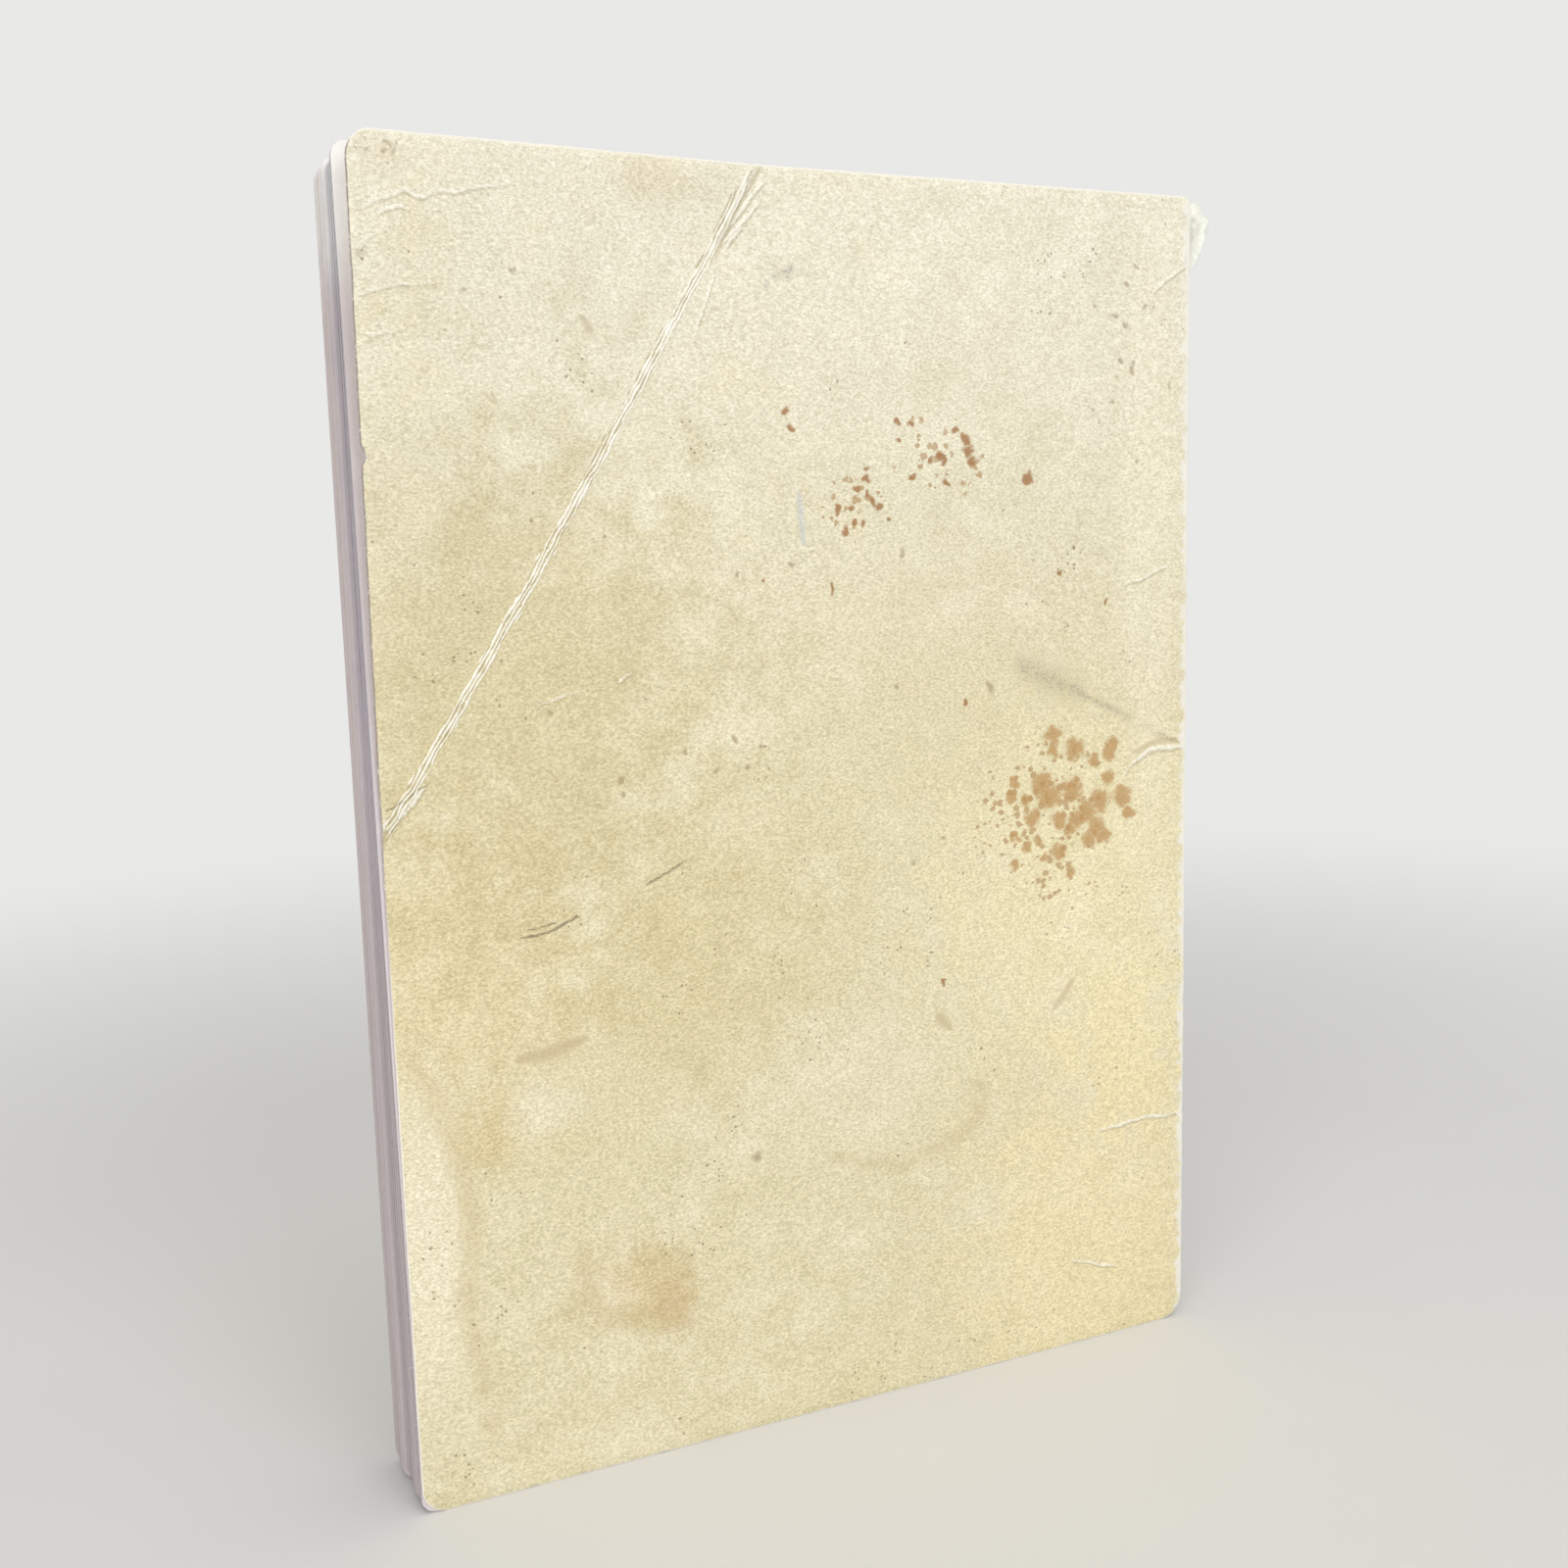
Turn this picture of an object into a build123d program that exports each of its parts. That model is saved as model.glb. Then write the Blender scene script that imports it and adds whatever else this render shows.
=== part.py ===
"""Worn paperback book, standing on its tail edge.

The frame has +Z up the book, +X from the fore-edge to the spine and +Y from the back cover to the front
cover. The origin is the middle of the leaves' tail edge. All sizes are in millimetres.
"""

import os
from math import cos, radians, sin

from build123d import *

# Leaves
leaf_width = 148.0
leaf_height = 209.4
gathering_count = 12
gathering_thickness = 1.29
groove_width = 0.2
groove_depth = 0.3
fore_edge_wave = 0.5
wave_turns = 2.5
fore_corner_radius = 4.0

# Cover sheet and binding
cover_thickness = 0.4
cover_clearance = 0.1
cover_over_head = 0.6
cover_setback = 0.3
glue_thickness = 0.4
hinge_clearance = 0.1
spine_head_radius = 1.5
spine_tail_radius = 5.0

# Crease across the back cover's upper fore corner, measured from that corner
crease_along_head = 64.0
crease_down_fore_edge = 101.0
crease_angle = 4.9
crease_ridge_width = 1.4
crease_ridge_height = 0.25

# Nick in the back cover's fore-edge
nick_below_head = 45.0
nick_height = 2.4
nick_depth = 1.0

# Torn head of the spine, measured from its corner at the back cover
tear_down_fold = 12.5
tear_along_head = 9.0
tear_flare = 65.0
tear_peak = 0.8
tear_notch = 0.36
tear_second_peak = 0.28

# Places that follow from the sizes
fore_edge_x = -leaf_width / 2
leaf_spine_x = leaf_width / 2
cover_fore_x = fore_edge_x + cover_setback
cover_height = leaf_height + cover_over_head
glue_outer_x = leaf_spine_x + glue_thickness
spine_outer_x = glue_outer_x + cover_thickness
gathering_pitch = gathering_thickness + groove_width
block_face_y = (gathering_count * gathering_pitch - groove_width) / 2
cover_inner_y = block_face_y + cover_clearance
hinge_x = spine_outer_x - cover_thickness / 2
hinge_y = cover_inner_y + cover_thickness / 2
spine_half_width = cover_inner_y - hinge_clearance
tail_bend_x = spine_outer_x - spine_tail_radius
tail_bend_z = spine_tail_radius
fold_height = cover_height - spine_tail_radius - spine_head_radius
cutter_reach = leaf_width + cover_height

# The crease runs from the fore-edge up to the head, and its cross direction points at the corner
crease_foot = Vector(cover_fore_x, 0, cover_height - crease_down_fore_edge)
crease_top = Vector(cover_fore_x + crease_along_head, 0, cover_height)
crease_direction = (crease_top - crease_foot).normalized()
towards_corner = crease_direction.rotate(Axis.Y, -90)


def crease_plane(outward_y):
    """Plane across the crease, with its own X towards the corner and its own Y out of the book."""
    return Plane(crease_foot + Vector(0, -outward_y, 0), x_dir=towards_corner, z_dir=crease_direction)


def leaf_outline(plane, setback, head_drop):
    """Outline of a leaf seen from the back cover, cut away under the bumped tail of the spine."""
    fold_radius = spine_tail_radius - cover_thickness - glue_thickness
    fore_x = fore_edge_x + setback
    head_z = leaf_height - head_drop
    with BuildSketch(plane) as outline:
        with Locations(((fore_x + leaf_spine_x) / 2, head_z / 2)):
            Rectangle(leaf_spine_x - fore_x, head_z)
        fillet(outline.vertices().group_by(Axis.X)[0], fore_corner_radius)
        with BuildLine():
            Line((tail_bend_x, 0), (tail_bend_x, tail_bend_z - fold_radius))
            CenterArc((tail_bend_x, tail_bend_z), fold_radius, -90, 90)
            Polyline((leaf_spine_x, tail_bend_z), (leaf_spine_x, 0), (tail_bend_x, 0))
        make_face(mode=Mode.SUBTRACT)
    return outline.sketch


def cover_outline(plane):
    """Outline of a cover up to its fold, with rounded fore corners and a bumped tail at the spine."""
    fold_tail_radius = spine_tail_radius - cover_thickness / 2
    with BuildSketch(plane) as outline:
        with Locations(((cover_fore_x + hinge_x) / 2, cover_height / 2)):
            Rectangle(hinge_x - cover_fore_x, cover_height)
        fillet(outline.vertices().group_by(Axis.X)[0], fore_corner_radius)
        fillet(outline.vertices().group_by(Axis.X)[-1].sort_by(Axis.Y)[-1], spine_head_radius)
        fillet(outline.vertices().group_by(Axis.X)[-1].sort_by(Axis.Y)[0], fold_tail_radius)
    return outline.sketch


def spine_layer(outer_radius, thickness, head_z):
    """Edge view of a layer that covers the leaves' folds and turns in round the bumped tail."""
    inner_radius = outer_radius - thickness
    outer_x = tail_bend_x + outer_radius
    inner_x = tail_bend_x + inner_radius
    with BuildSketch(Plane.XZ) as layer:
        with BuildLine():
            Line((outer_x, head_z), (outer_x, tail_bend_z))
            CenterArc((tail_bend_x, tail_bend_z), outer_radius, 0, -90)
            Line((tail_bend_x, tail_bend_z - outer_radius), (tail_bend_x, tail_bend_z - inner_radius))
            CenterArc((tail_bend_x, tail_bend_z), inner_radius, -90, 90)
            Polyline((inner_x, tail_bend_z), (inner_x, head_z), (outer_x, head_z))
        make_face()
    return layer.sketch


def fold_nose(side_y):
    """Round section of a cover's fold, on the line that it turns about."""
    with BuildSketch(Plane.XY.offset(spine_tail_radius)) as nose:
        with Locations((hinge_x, side_y)):
            Circle(cover_thickness / 2)
    return nose.sketch


# Page block: gatherings set back from the fore-edge in a slow wave, with grooves down to a common core
with BuildPart() as page_block:
    core = leaf_outline(Plane.XZ, fore_edge_wave + groove_depth, groove_depth)
    extrude(core, amount=block_face_y, both=True)
    for gathering in range(gathering_count):
        near_y = gathering_pitch * gathering - block_face_y
        wave = sin(radians(360 * wave_turns * gathering / gathering_count))
        leaf = leaf_outline(Plane.XZ.offset(-near_y), fore_edge_wave * (1 + wave) / 2, 0)
        extrude(leaf, amount=-gathering_thickness)
page_block.part.label = "page_block"

# Glue along the folds of the gatherings
with BuildPart() as spine_glue:
    glue = spine_layer(spine_tail_radius - cover_thickness, glue_thickness, leaf_height)
    extrude(glue, amount=block_face_y, both=True)
spine_glue.part.label = "spine_glue"

# Spine of the cover, torn at the head along its fold and flared out
fold_foot = Vector(glue_outer_x, -spine_half_width, cover_height - tear_down_fold)
fold_head = Vector(glue_outer_x, tear_along_head - spine_half_width, cover_height)
torn_corner = Vector(glue_outer_x, -spine_half_width, cover_height)
fold_direction = (fold_head - fold_foot).normalized()
across_fold = fold_direction.cross(Vector(-1, 0, 0))
flap_normal = Vector(1, 0, 0) * cos(radians(tear_flare)) - across_fold * sin(radians(tear_flare))
fold_length = (fold_head - fold_foot).length
corner_along = (torn_corner - fold_foot).dot(fold_direction)
corner_across = (torn_corner - fold_foot).dot(across_fold)

with BuildPart() as spine:
    strip = spine_layer(spine_tail_radius, cover_thickness, cover_height)
    extrude(strip, amount=spine_half_width, both=True)
    with BuildSketch(Plane.YZ.offset(glue_outer_x)):
        with BuildLine():
            Polyline(
                (fold_foot.Y, fold_foot.Z),
                (torn_corner.Y, torn_corner.Z),
                (fold_head.Y, fold_head.Z),
                close=True,
            )
        make_face()
    extrude(amount=cover_thickness, mode=Mode.SUBTRACT)
    with BuildSketch(Plane(fold_foot, x_dir=fold_direction, z_dir=flap_normal)):
        with BuildLine():
            Polyline(
                (0, 0),
                (corner_along * tear_peak, corner_across * tear_peak),
                (corner_along, corner_across * (1 - tear_notch)),
                (
                    corner_along + (fold_length - corner_along) * tear_second_peak,
                    corner_across * (1 - tear_second_peak),
                ),
                (fold_length, 0),
                close=True,
            )
        make_face()
    extrude(amount=cover_thickness)
spine.part.label = "spine"

# Front cover: a plain sheet that turns on its fold
with BuildPart() as front_cover:
    extrude(cover_outline(Plane.XZ.offset(-cover_inner_y)), amount=-cover_thickness)
    extrude(fold_nose(hinge_y), amount=fold_height)
front_cover.part.label = "front_cover"

# Back cover: a sheet bent along the crease, with the crease's raised ridge, cut to the cover's outline
with BuildPart() as back_cover:
    bent_way = Vector(cos(radians(crease_angle)), sin(radians(crease_angle)))
    bent_face = Vector(-bent_way.Y, bent_way.X) * cover_thickness
    ridge_start = Vector(-crease_ridge_width / 2, cover_thickness)
    ridge_top = Vector(0, cover_thickness + crease_ridge_height)
    ridge_end = bent_way * (crease_ridge_width / 2) + bent_face
    with BuildSketch(crease_plane(cover_inner_y)):
        with BuildLine():
            Polyline(
                ridge_end,
                bent_way * cutter_reach + bent_face,
                bent_way * cutter_reach,
                (0, 0),
                (-cutter_reach, 0),
                (-cutter_reach, cover_thickness),
                ridge_start,
            )
            ThreePointArc(ridge_start, ridge_top, ridge_end)
        make_face()
    extrude(amount=cutter_reach, both=True)
    with BuildSketch(Plane.XZ):
        add(cover_outline(Plane.XY))
        with BuildLine():
            nick_z = cover_height - nick_below_head
            Polyline(
                (cover_fore_x, nick_z - nick_height / 2),
                (cover_fore_x + nick_depth, nick_z),
                (cover_fore_x, nick_z + nick_height / 2),
                close=True,
            )
        make_face(mode=Mode.SUBTRACT)
    extrude(amount=cutter_reach, both=True, mode=Mode.INTERSECT)
    extrude(fold_nose(-hinge_y), amount=fold_height)
back_cover.part.label = "back_cover"

os.makedirs("parts", exist_ok=True)
for piece in (page_block, spine_glue, spine, front_cover, back_cover):
    export_step(piece.part, f"parts/{piece.part.label}.step")
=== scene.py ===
"""Dresses the worn paperback book: its leaves, creased back cover, front cover and torn spine.

Sizes are in millimetres in the book's own frame, with +X from the fore-edge to the spine, +Y from the back cover
to the front cover and +Z from the tail to the head. Meshes are written in metres.
"""

import logging
import math
import random
from abc import ABC, abstractmethod
from collections.abc import Iterable, Sequence
from dataclasses import dataclass, field
from enum import Enum
from typing import Any

import bmesh
import bpy
from mathutils import Matrix, Vector, geometry, noise


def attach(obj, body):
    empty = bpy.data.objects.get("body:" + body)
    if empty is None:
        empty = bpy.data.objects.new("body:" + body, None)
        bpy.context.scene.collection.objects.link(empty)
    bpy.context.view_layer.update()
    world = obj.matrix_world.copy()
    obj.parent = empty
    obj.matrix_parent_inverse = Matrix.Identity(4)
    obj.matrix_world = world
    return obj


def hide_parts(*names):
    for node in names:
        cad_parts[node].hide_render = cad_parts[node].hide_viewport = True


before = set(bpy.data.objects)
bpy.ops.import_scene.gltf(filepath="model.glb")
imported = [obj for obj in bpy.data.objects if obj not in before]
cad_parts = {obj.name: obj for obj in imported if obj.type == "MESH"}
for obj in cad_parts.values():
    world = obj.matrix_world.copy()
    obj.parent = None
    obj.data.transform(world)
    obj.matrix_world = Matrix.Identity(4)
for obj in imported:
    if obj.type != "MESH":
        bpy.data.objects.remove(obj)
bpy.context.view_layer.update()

MM = 0.001
LOG = logging.getLogger("paperback")

Point = tuple[float, float]
Triple = tuple[float, float, float]


class Side(Enum):
    """The two covers, by the way their outer face looks along Y."""

    BACK = -1
    FRONT = 1


class Trace(Enum):
    """Traces that the points of a sheet carry, from 0 where there is none to 1 at the middle: worn marks and
    stains, and painted shade along the creases.
    """

    BLOB = "blob"
    DROP = "drop"
    SOIL = "soil"
    SPATTER = "spatter"
    STRAND = "strand"
    GROOVE_AND_SHADE = "gap"
    LIGHT_CREASE = "light_crease"
    SHADE = "shade"
    SCRATCH = "scratch"
    SMEAR = "smear"
    SMUDGE = "smudge"
    TIDE = "tide"
    INK = "ink"
    GRIME = "grime"


class Rim(Enum):
    """Edges of a cover that fray, each with its way out."""

    FORE = (-1.0, 0.0, 0.0)
    HEAD = (0.0, 0.0, 1.0)


class Face(Enum):
    """Material places of a sheet of card."""

    OUTER = 0
    INNER = 1
    EDGE = 2


# Expressions on nodes


class Wire:
    """An output socket that stands in Python expressions for the value it carries."""

    def __init__(self, sheet: "NodeSheet", socket: bpy.types.NodeSocket) -> None:
        """Keeps the socket and the sheet that grows with it."""
        self.sheet = sheet
        self.socket = socket

    def __add__(self, other: "Term") -> "Wire":
        """Adds a value."""
        return self.sheet.math("ADD", self, other)

    __radd__ = __add__

    def __sub__(self, other: "Term") -> "Wire":
        """Takes a value away."""
        return self.sheet.math("SUBTRACT", self, other)

    def __rsub__(self, other: "Term") -> "Wire":
        """Takes this away from a value."""
        return self.sheet.math("SUBTRACT", other, self)

    def __mul__(self, other: "Term") -> "Wire":
        """Multiplies by a value."""
        return self.sheet.math("MULTIPLY", self, other)

    __rmul__ = __mul__

    def __truediv__(self, other: "Term") -> "Wire":
        """Divides by a value."""
        return self.sheet.math("DIVIDE", self, other)

    def __rtruediv__(self, other: "Term") -> "Wire":
        """Divides a value by this."""
        return self.sheet.math("DIVIDE", other, self)

    def __neg__(self) -> "Wire":
        """Turns the sign."""
        return self.sheet.math("MULTIPLY", self, -1.0)

    def __abs__(self) -> "Wire":
        """Drops the sign."""
        return self.sheet.math("ABSOLUTE", self)


Term = Wire | float


def ease(value: Term, low: float, high: float) -> Term:
    """Smooth step between two levels, as a number or as a node.

    Args:
        value: What is tested.
        low: Level that gives 0. It may be above high.
        high: Level that gives 1.

    Returns:
        The step, from 0 to 1.
    """
    if isinstance(value, Wire):
        levels = {"Value": value, "From Min": low, "From Max": high}
        return value.sheet.add("ShaderNodeMapRange", {"interpolation_type": "SMOOTHSTEP"}, levels)
    share = min(1.0, max(0.0, (value - low) / (high - low)))
    return share * share * (3 - 2 * share)


def lowest(values: Sequence[Wire]) -> Wire:
    """Smallest of several wires."""
    found = values[0]
    for value in values[1:]:
        found = found.sheet.math("MINIMUM", found, value)
    return found


class NodeSheet:
    """A node tree that grows by expressions on its wires."""

    def __init__(self, tree: bpy.types.NodeTree) -> None:
        """Takes the tree to fill."""
        self.tree = tree

    def put(
        self,
        kind: str,
        settings: dict[str, Any] | None = None,
        inputs: dict[int | str, Any] | None = None,
    ) -> bpy.types.Node:
        """Adds a node.

        Args:
            kind: The node's type.
            settings: Its own properties, set first.
            inputs: Values or wires for its sockets, by name or number.

        Returns:
            The node.
        """
        node = self.tree.nodes.new(kind)
        for name, value in (settings or {}).items():
            setattr(node, name, value)
        for name, value in (inputs or {}).items():
            if isinstance(value, Wire):
                self.tree.links.new(value.socket, node.inputs[name])
            else:
                node.inputs[name].default_value = value
        return node

    def add(
        self,
        kind: str,
        settings: dict[str, Any] | None = None,
        inputs: dict[int | str, Any] | None = None,
        output: int | str = 0,
    ) -> Wire:
        """Adds a node and gives one of its outputs.

        Args:
            kind: The node's type.
            settings: Its own properties, set first.
            inputs: Values or wires for its sockets.
            output: Name or number of the output.

        Returns:
            A wire from that output.
        """
        return Wire(self, self.put(kind, settings, inputs).outputs[output])

    def math(self, operation: str, first: Term, second: Term = 0.0) -> Wire:
        """Adds a Math node."""
        return self.add("ShaderNodeMath", {"operation": operation}, {0: first, 1: second})

    def vector(self, operation: str, first: Any, second: Any, output: int | str = 0) -> Wire:
        """Adds a Vector Math node with two vectors."""
        return self.add("ShaderNodeVectorMath", {"operation": operation}, {0: first, 1: second}, output)

    def scaled(self, vector: Any, factor: Term) -> Wire:
        """Vector or colour times a number."""
        return self.add("ShaderNodeVectorMath", {"operation": "SCALE"}, {0: vector, "Scale": factor})

    def split(self, vector: Wire) -> list[Wire]:
        """The three parts of a vector."""
        node = self.put("ShaderNodeSeparateXYZ", inputs={0: vector})
        return [Wire(self, socket) for socket in node.outputs]

    def noise(self, where: Wire, scale: float, detail: float, roughness: float) -> Wire:
        """Cloudy noise.

        Args:
            where: Place that it is read at.
            scale: Waves for each unit of that place.
            detail: Number of finer layers.
            roughness: Strength of the finer layers.

        Returns:
            The noise, about 0.5 on average.
        """
        inputs = {"Vector": where, "Scale": scale, "Detail": detail, "Roughness": roughness}
        return self.add("ShaderNodeTexNoise", None, inputs)

    def mix(self, share: Term, first: Any, second: Any) -> Wire:
        """Colour between two colours."""
        return self.add("ShaderNodeMix", {"data_type": "RGBA"}, {0: share, 6: first, 7: second}, 2)


# Tones and finishes


@dataclass(frozen=True)
class Tone:
    """A colour as it looks on a screen, from 0 to 255."""

    red: int
    green: int
    blue: int

    @property
    def rgba(self) -> tuple[float, float, float, float]:
        """The colour as light, with full cover."""
        shares = (self.red / 255, self.green / 255, self.blue / 255)
        light = (s / 12.92 if s <= 0.04045 else ((s + 0.055) / 1.055) ** 2.4 for s in shares)
        return (*light, 1.0)


@dataclass(frozen=True)
class Stroke:
    """A worn line through places on a cover."""

    places: tuple[Point, ...]
    half_width: float

    def runs(self) -> Iterable[tuple[Vector, Vector]]:
        """Start and course of its straight runs."""
        for start, end in zip(self.places, self.places[1:]):
            yield Vector(start), Vector(end) - Vector(start)

    def closeness(self, x: float, z: float) -> float:
        """1 on the line, a half at its rim and 0 at twice its half width, thinner towards its ends."""
        place, found = Vector((x, z)), 0.0
        if not self.near(x, z, 2 * self.half_width):
            return found
        count = len(self.places) - 1
        for i, (start, run) in enumerate(self.runs()):
            share = min(1.0, max(0.0, (place - start).dot(run) / run.length_squared))
            whole = (i + share) / count
            reach = 2 * self.half_width * (0.25 + 0.75 * math.sqrt(4 * whole * (1 - whole)))
            found = max(found, 1 - (place - start - run * share).length / reach)
        return found

    def near(self, x: float, z: float, margin: float) -> bool:
        """Whether a place lies in the line's box, widened by a margin."""
        columns, rows = zip(*self.places)
        in_columns = min(columns) - margin < x < max(columns) + margin
        return in_columns and min(rows) - margin < z < max(rows) + margin


@dataclass(frozen=True)
class Spot:
    """A round stain on a cover."""

    x: float
    z: float
    radius: float

    def closeness(self, x: float, z: float) -> float:
        """1 at the middle, a half at the rim and 0 at twice the radius."""
        return max(0.0, 1 - math.hypot(x - self.x, z - self.z) / (2 * self.radius))


def spots(*rows: Triple) -> tuple[Spot, ...]:
    """Round stains, each from its place and its radius."""
    return tuple(Spot(*row) for row in rows)


@dataclass(frozen=True)
class Patch:
    """A broad soft patch of colour, as an upright ellipse: mostly stains, some painted light."""

    x: float
    z: float
    reach_x: float
    reach_z: float
    tone: Tone
    strength: float


class Skin(NodeSheet):
    """A material whose nodes read places on the book in millimetres."""

    def __init__(self, name: str) -> None:
        """Makes the material and its place wires."""
        self.material = bpy.data.materials.new(name)
        self.material.use_nodes = True
        super().__init__(self.material.node_tree)
        self.tree.nodes.clear()
        self.place = self.scaled(self.add("ShaderNodeTexCoord", output="Object"), 1 / MM)
        self.x, _, self.z = self.split(self.place)

    def trace(self, trace: Trace) -> Wire:
        """A trace that the sheet's points carry."""
        return self.add("ShaderNodeAttribute", {"attribute_name": trace.value}, None, "Fac")

    def cells(self, scale: float) -> tuple[Wire, list[Wire]]:
        """Distance to the nearest of scattered points, and the three chances that it draws."""
        node = self.put("ShaderNodeTexVoronoi", None, {"Vector": self.place, "Scale": scale})
        return Wire(self, node.outputs["Distance"]), self.split(Wire(self, node.outputs["Color"]))

    def threads(self, scale: float) -> Wire:
        """Upright fibre grain."""
        return self.noise(self.vector("MULTIPLY", self.place, (1.0, 1.0, 0.4)), scale, 4.0, 0.7)

    def dress(self, colour: Wire, roughness: Term, height: Wire, depth: float, gloss: float) -> bpy.types.Material:
        """Ends the nodes in a surface.

        Args:
            colour: Base colour.
            roughness: Roughness, as a number or a wire.
            height: Relief from 0 to 1.
            depth: Depth of that relief.
            gloss: Level of the plain reflection.

        Returns:
            The finished material.
        """
        normal = self.add("ShaderNodeBump", None, {"Strength": 1.0, "Distance": depth * MM, "Height": height})
        inputs = {"Base Color": colour, "Roughness": roughness, "Normal": normal, "Specular IOR Level": gloss}
        surface = self.add("ShaderNodeBsdfPrincipled", None, inputs)
        self.put("ShaderNodeOutputMaterial", None, {"Surface": surface})
        return self.material


# The crease across the corner of the back cover


def clouds(x: float, z: float, size: float, seed: float) -> float:
    """Smooth noise from -1 to 1 over waves of a size."""
    return noise.noise(Vector((x / size, z / size, seed)))


@dataclass(frozen=True)
class CreaseLine:
    """The crease, from the fore-edge up to the head: a bend under a bundle of thin raised strands."""

    foot: Point = (-73.7, 109.0)
    top: Point = (-9.7, 210.0)
    bow: float = 1.0
    slope: float = math.tan(math.radians(4.9))
    softness: float = 0.8
    ridge_height: float = 0.16
    half_width: float = 1.05
    strand_pitch: float = 0.58
    strand_height: float = 0.22
    band: Point = (-2.8, 2.6)

    @property
    def length(self) -> float:
        """Length from the fore-edge to the head."""
        return math.dist(self.foot, self.top)

    def sway(self, along: float) -> float:
        """Place across of the crease's middle, which bows away from the corner."""
        share = along / self.length
        jogs = 0.14 * clouds(along, 0.0, 9.0, 3.3) + 0.1 * clouds(along, 0.0, 2.4, 6.1)
        return jogs - 4 * self.bow * share * (1 - share)

    def coordinates(self, x: float, z: float) -> Point:
        """Place along the crease and across it, towards the corner."""
        way = (Vector(self.top) - Vector(self.foot)) / self.length
        rest = Vector((x, z)) - Vector(self.foot)
        along = rest.dot(way)
        return along, rest.dot(Vector((-way.y, way.x))) - self.sway(along)

    def place(self, along: float, across: float) -> Vector:
        """Flat place of a place along and across the crease."""
        way = (Vector(self.top) - Vector(self.foot)) / self.length
        return Vector(self.foot) + way * along + Vector((-way.y, way.x)) * (across + self.sway(along))

    def relief(self, along: float, across: float) -> float:
        """Strands and grooves: above 0 on a strand, below 0 in a groove between two or on the crease's shaded side,
        which the card colours as painted shade.
        """
        spread = self.half_width * (1 + 0.3 * clouds(along, 0.0, 9.0, 8.1) + 0.2 * ease(along, 12.0, 0.0))
        spread *= 1 + 0.4 * clouds(along, across, 1.2, 2.7)
        inside = ease(abs(across), spread, spread * 0.55) * ease(along, self.length, self.length - 8)
        # Painted shade: a soft dark band on the crease's shaded side near the head, also a slight dip.
        beside = (across + 1.1 + 0.2 * clouds(along, 0.0, 5.0, 7.5)) / 0.45
        fold = 0.65 * math.exp(-beside * beside) * ease(along, 99.0, 106.0)
        if inside == 0:
            return -fold
        drift = across + 0.3 * clouds(along, 0.0, 7.0, 4.0) + 0.24 * clouds(along, across * 4, 2.8, 9.0)
        drift += 0.14 * clouds(along, across * 2, 0.7, 21.0)
        strands = math.cos(math.tau * drift / self.strand_pitch) - 0.5 * ease(along, 9.0, 1.0)
        patchy = clouds(along, across * 3, 2.4, 14.0)
        # Painted shade: a thin dark line along the bundle's left side, also a slight dip.
        shade = (across - 0.85 - 0.25 * clouds(along, 0.0, 7.0, 5.5)) / 0.17
        left = math.exp(-shade * shade) * ease(along, 52.0, 74.0)
        bundle = max(-1.0, min(1.0, 0.9 * strands + 0.9 * patchy + 0.12 - 1.2 * left))
        return max(-1.0, inside * bundle - fold)

    def lift(self, x: float, z: float) -> float:
        """Height of the bent and ridged card over the flat one."""
        along, across = self.coordinates(x, z)
        bent = self.slope * (across + math.hypot(across, self.softness)) / 2
        dome = self.ridge_height * math.exp(-((across / self.half_width) ** 2))
        return bent + dome + self.strand_height / 2 * self.relief(along, across)


# Marks on the back cover, in millimetres from the middle of the tail

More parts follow.
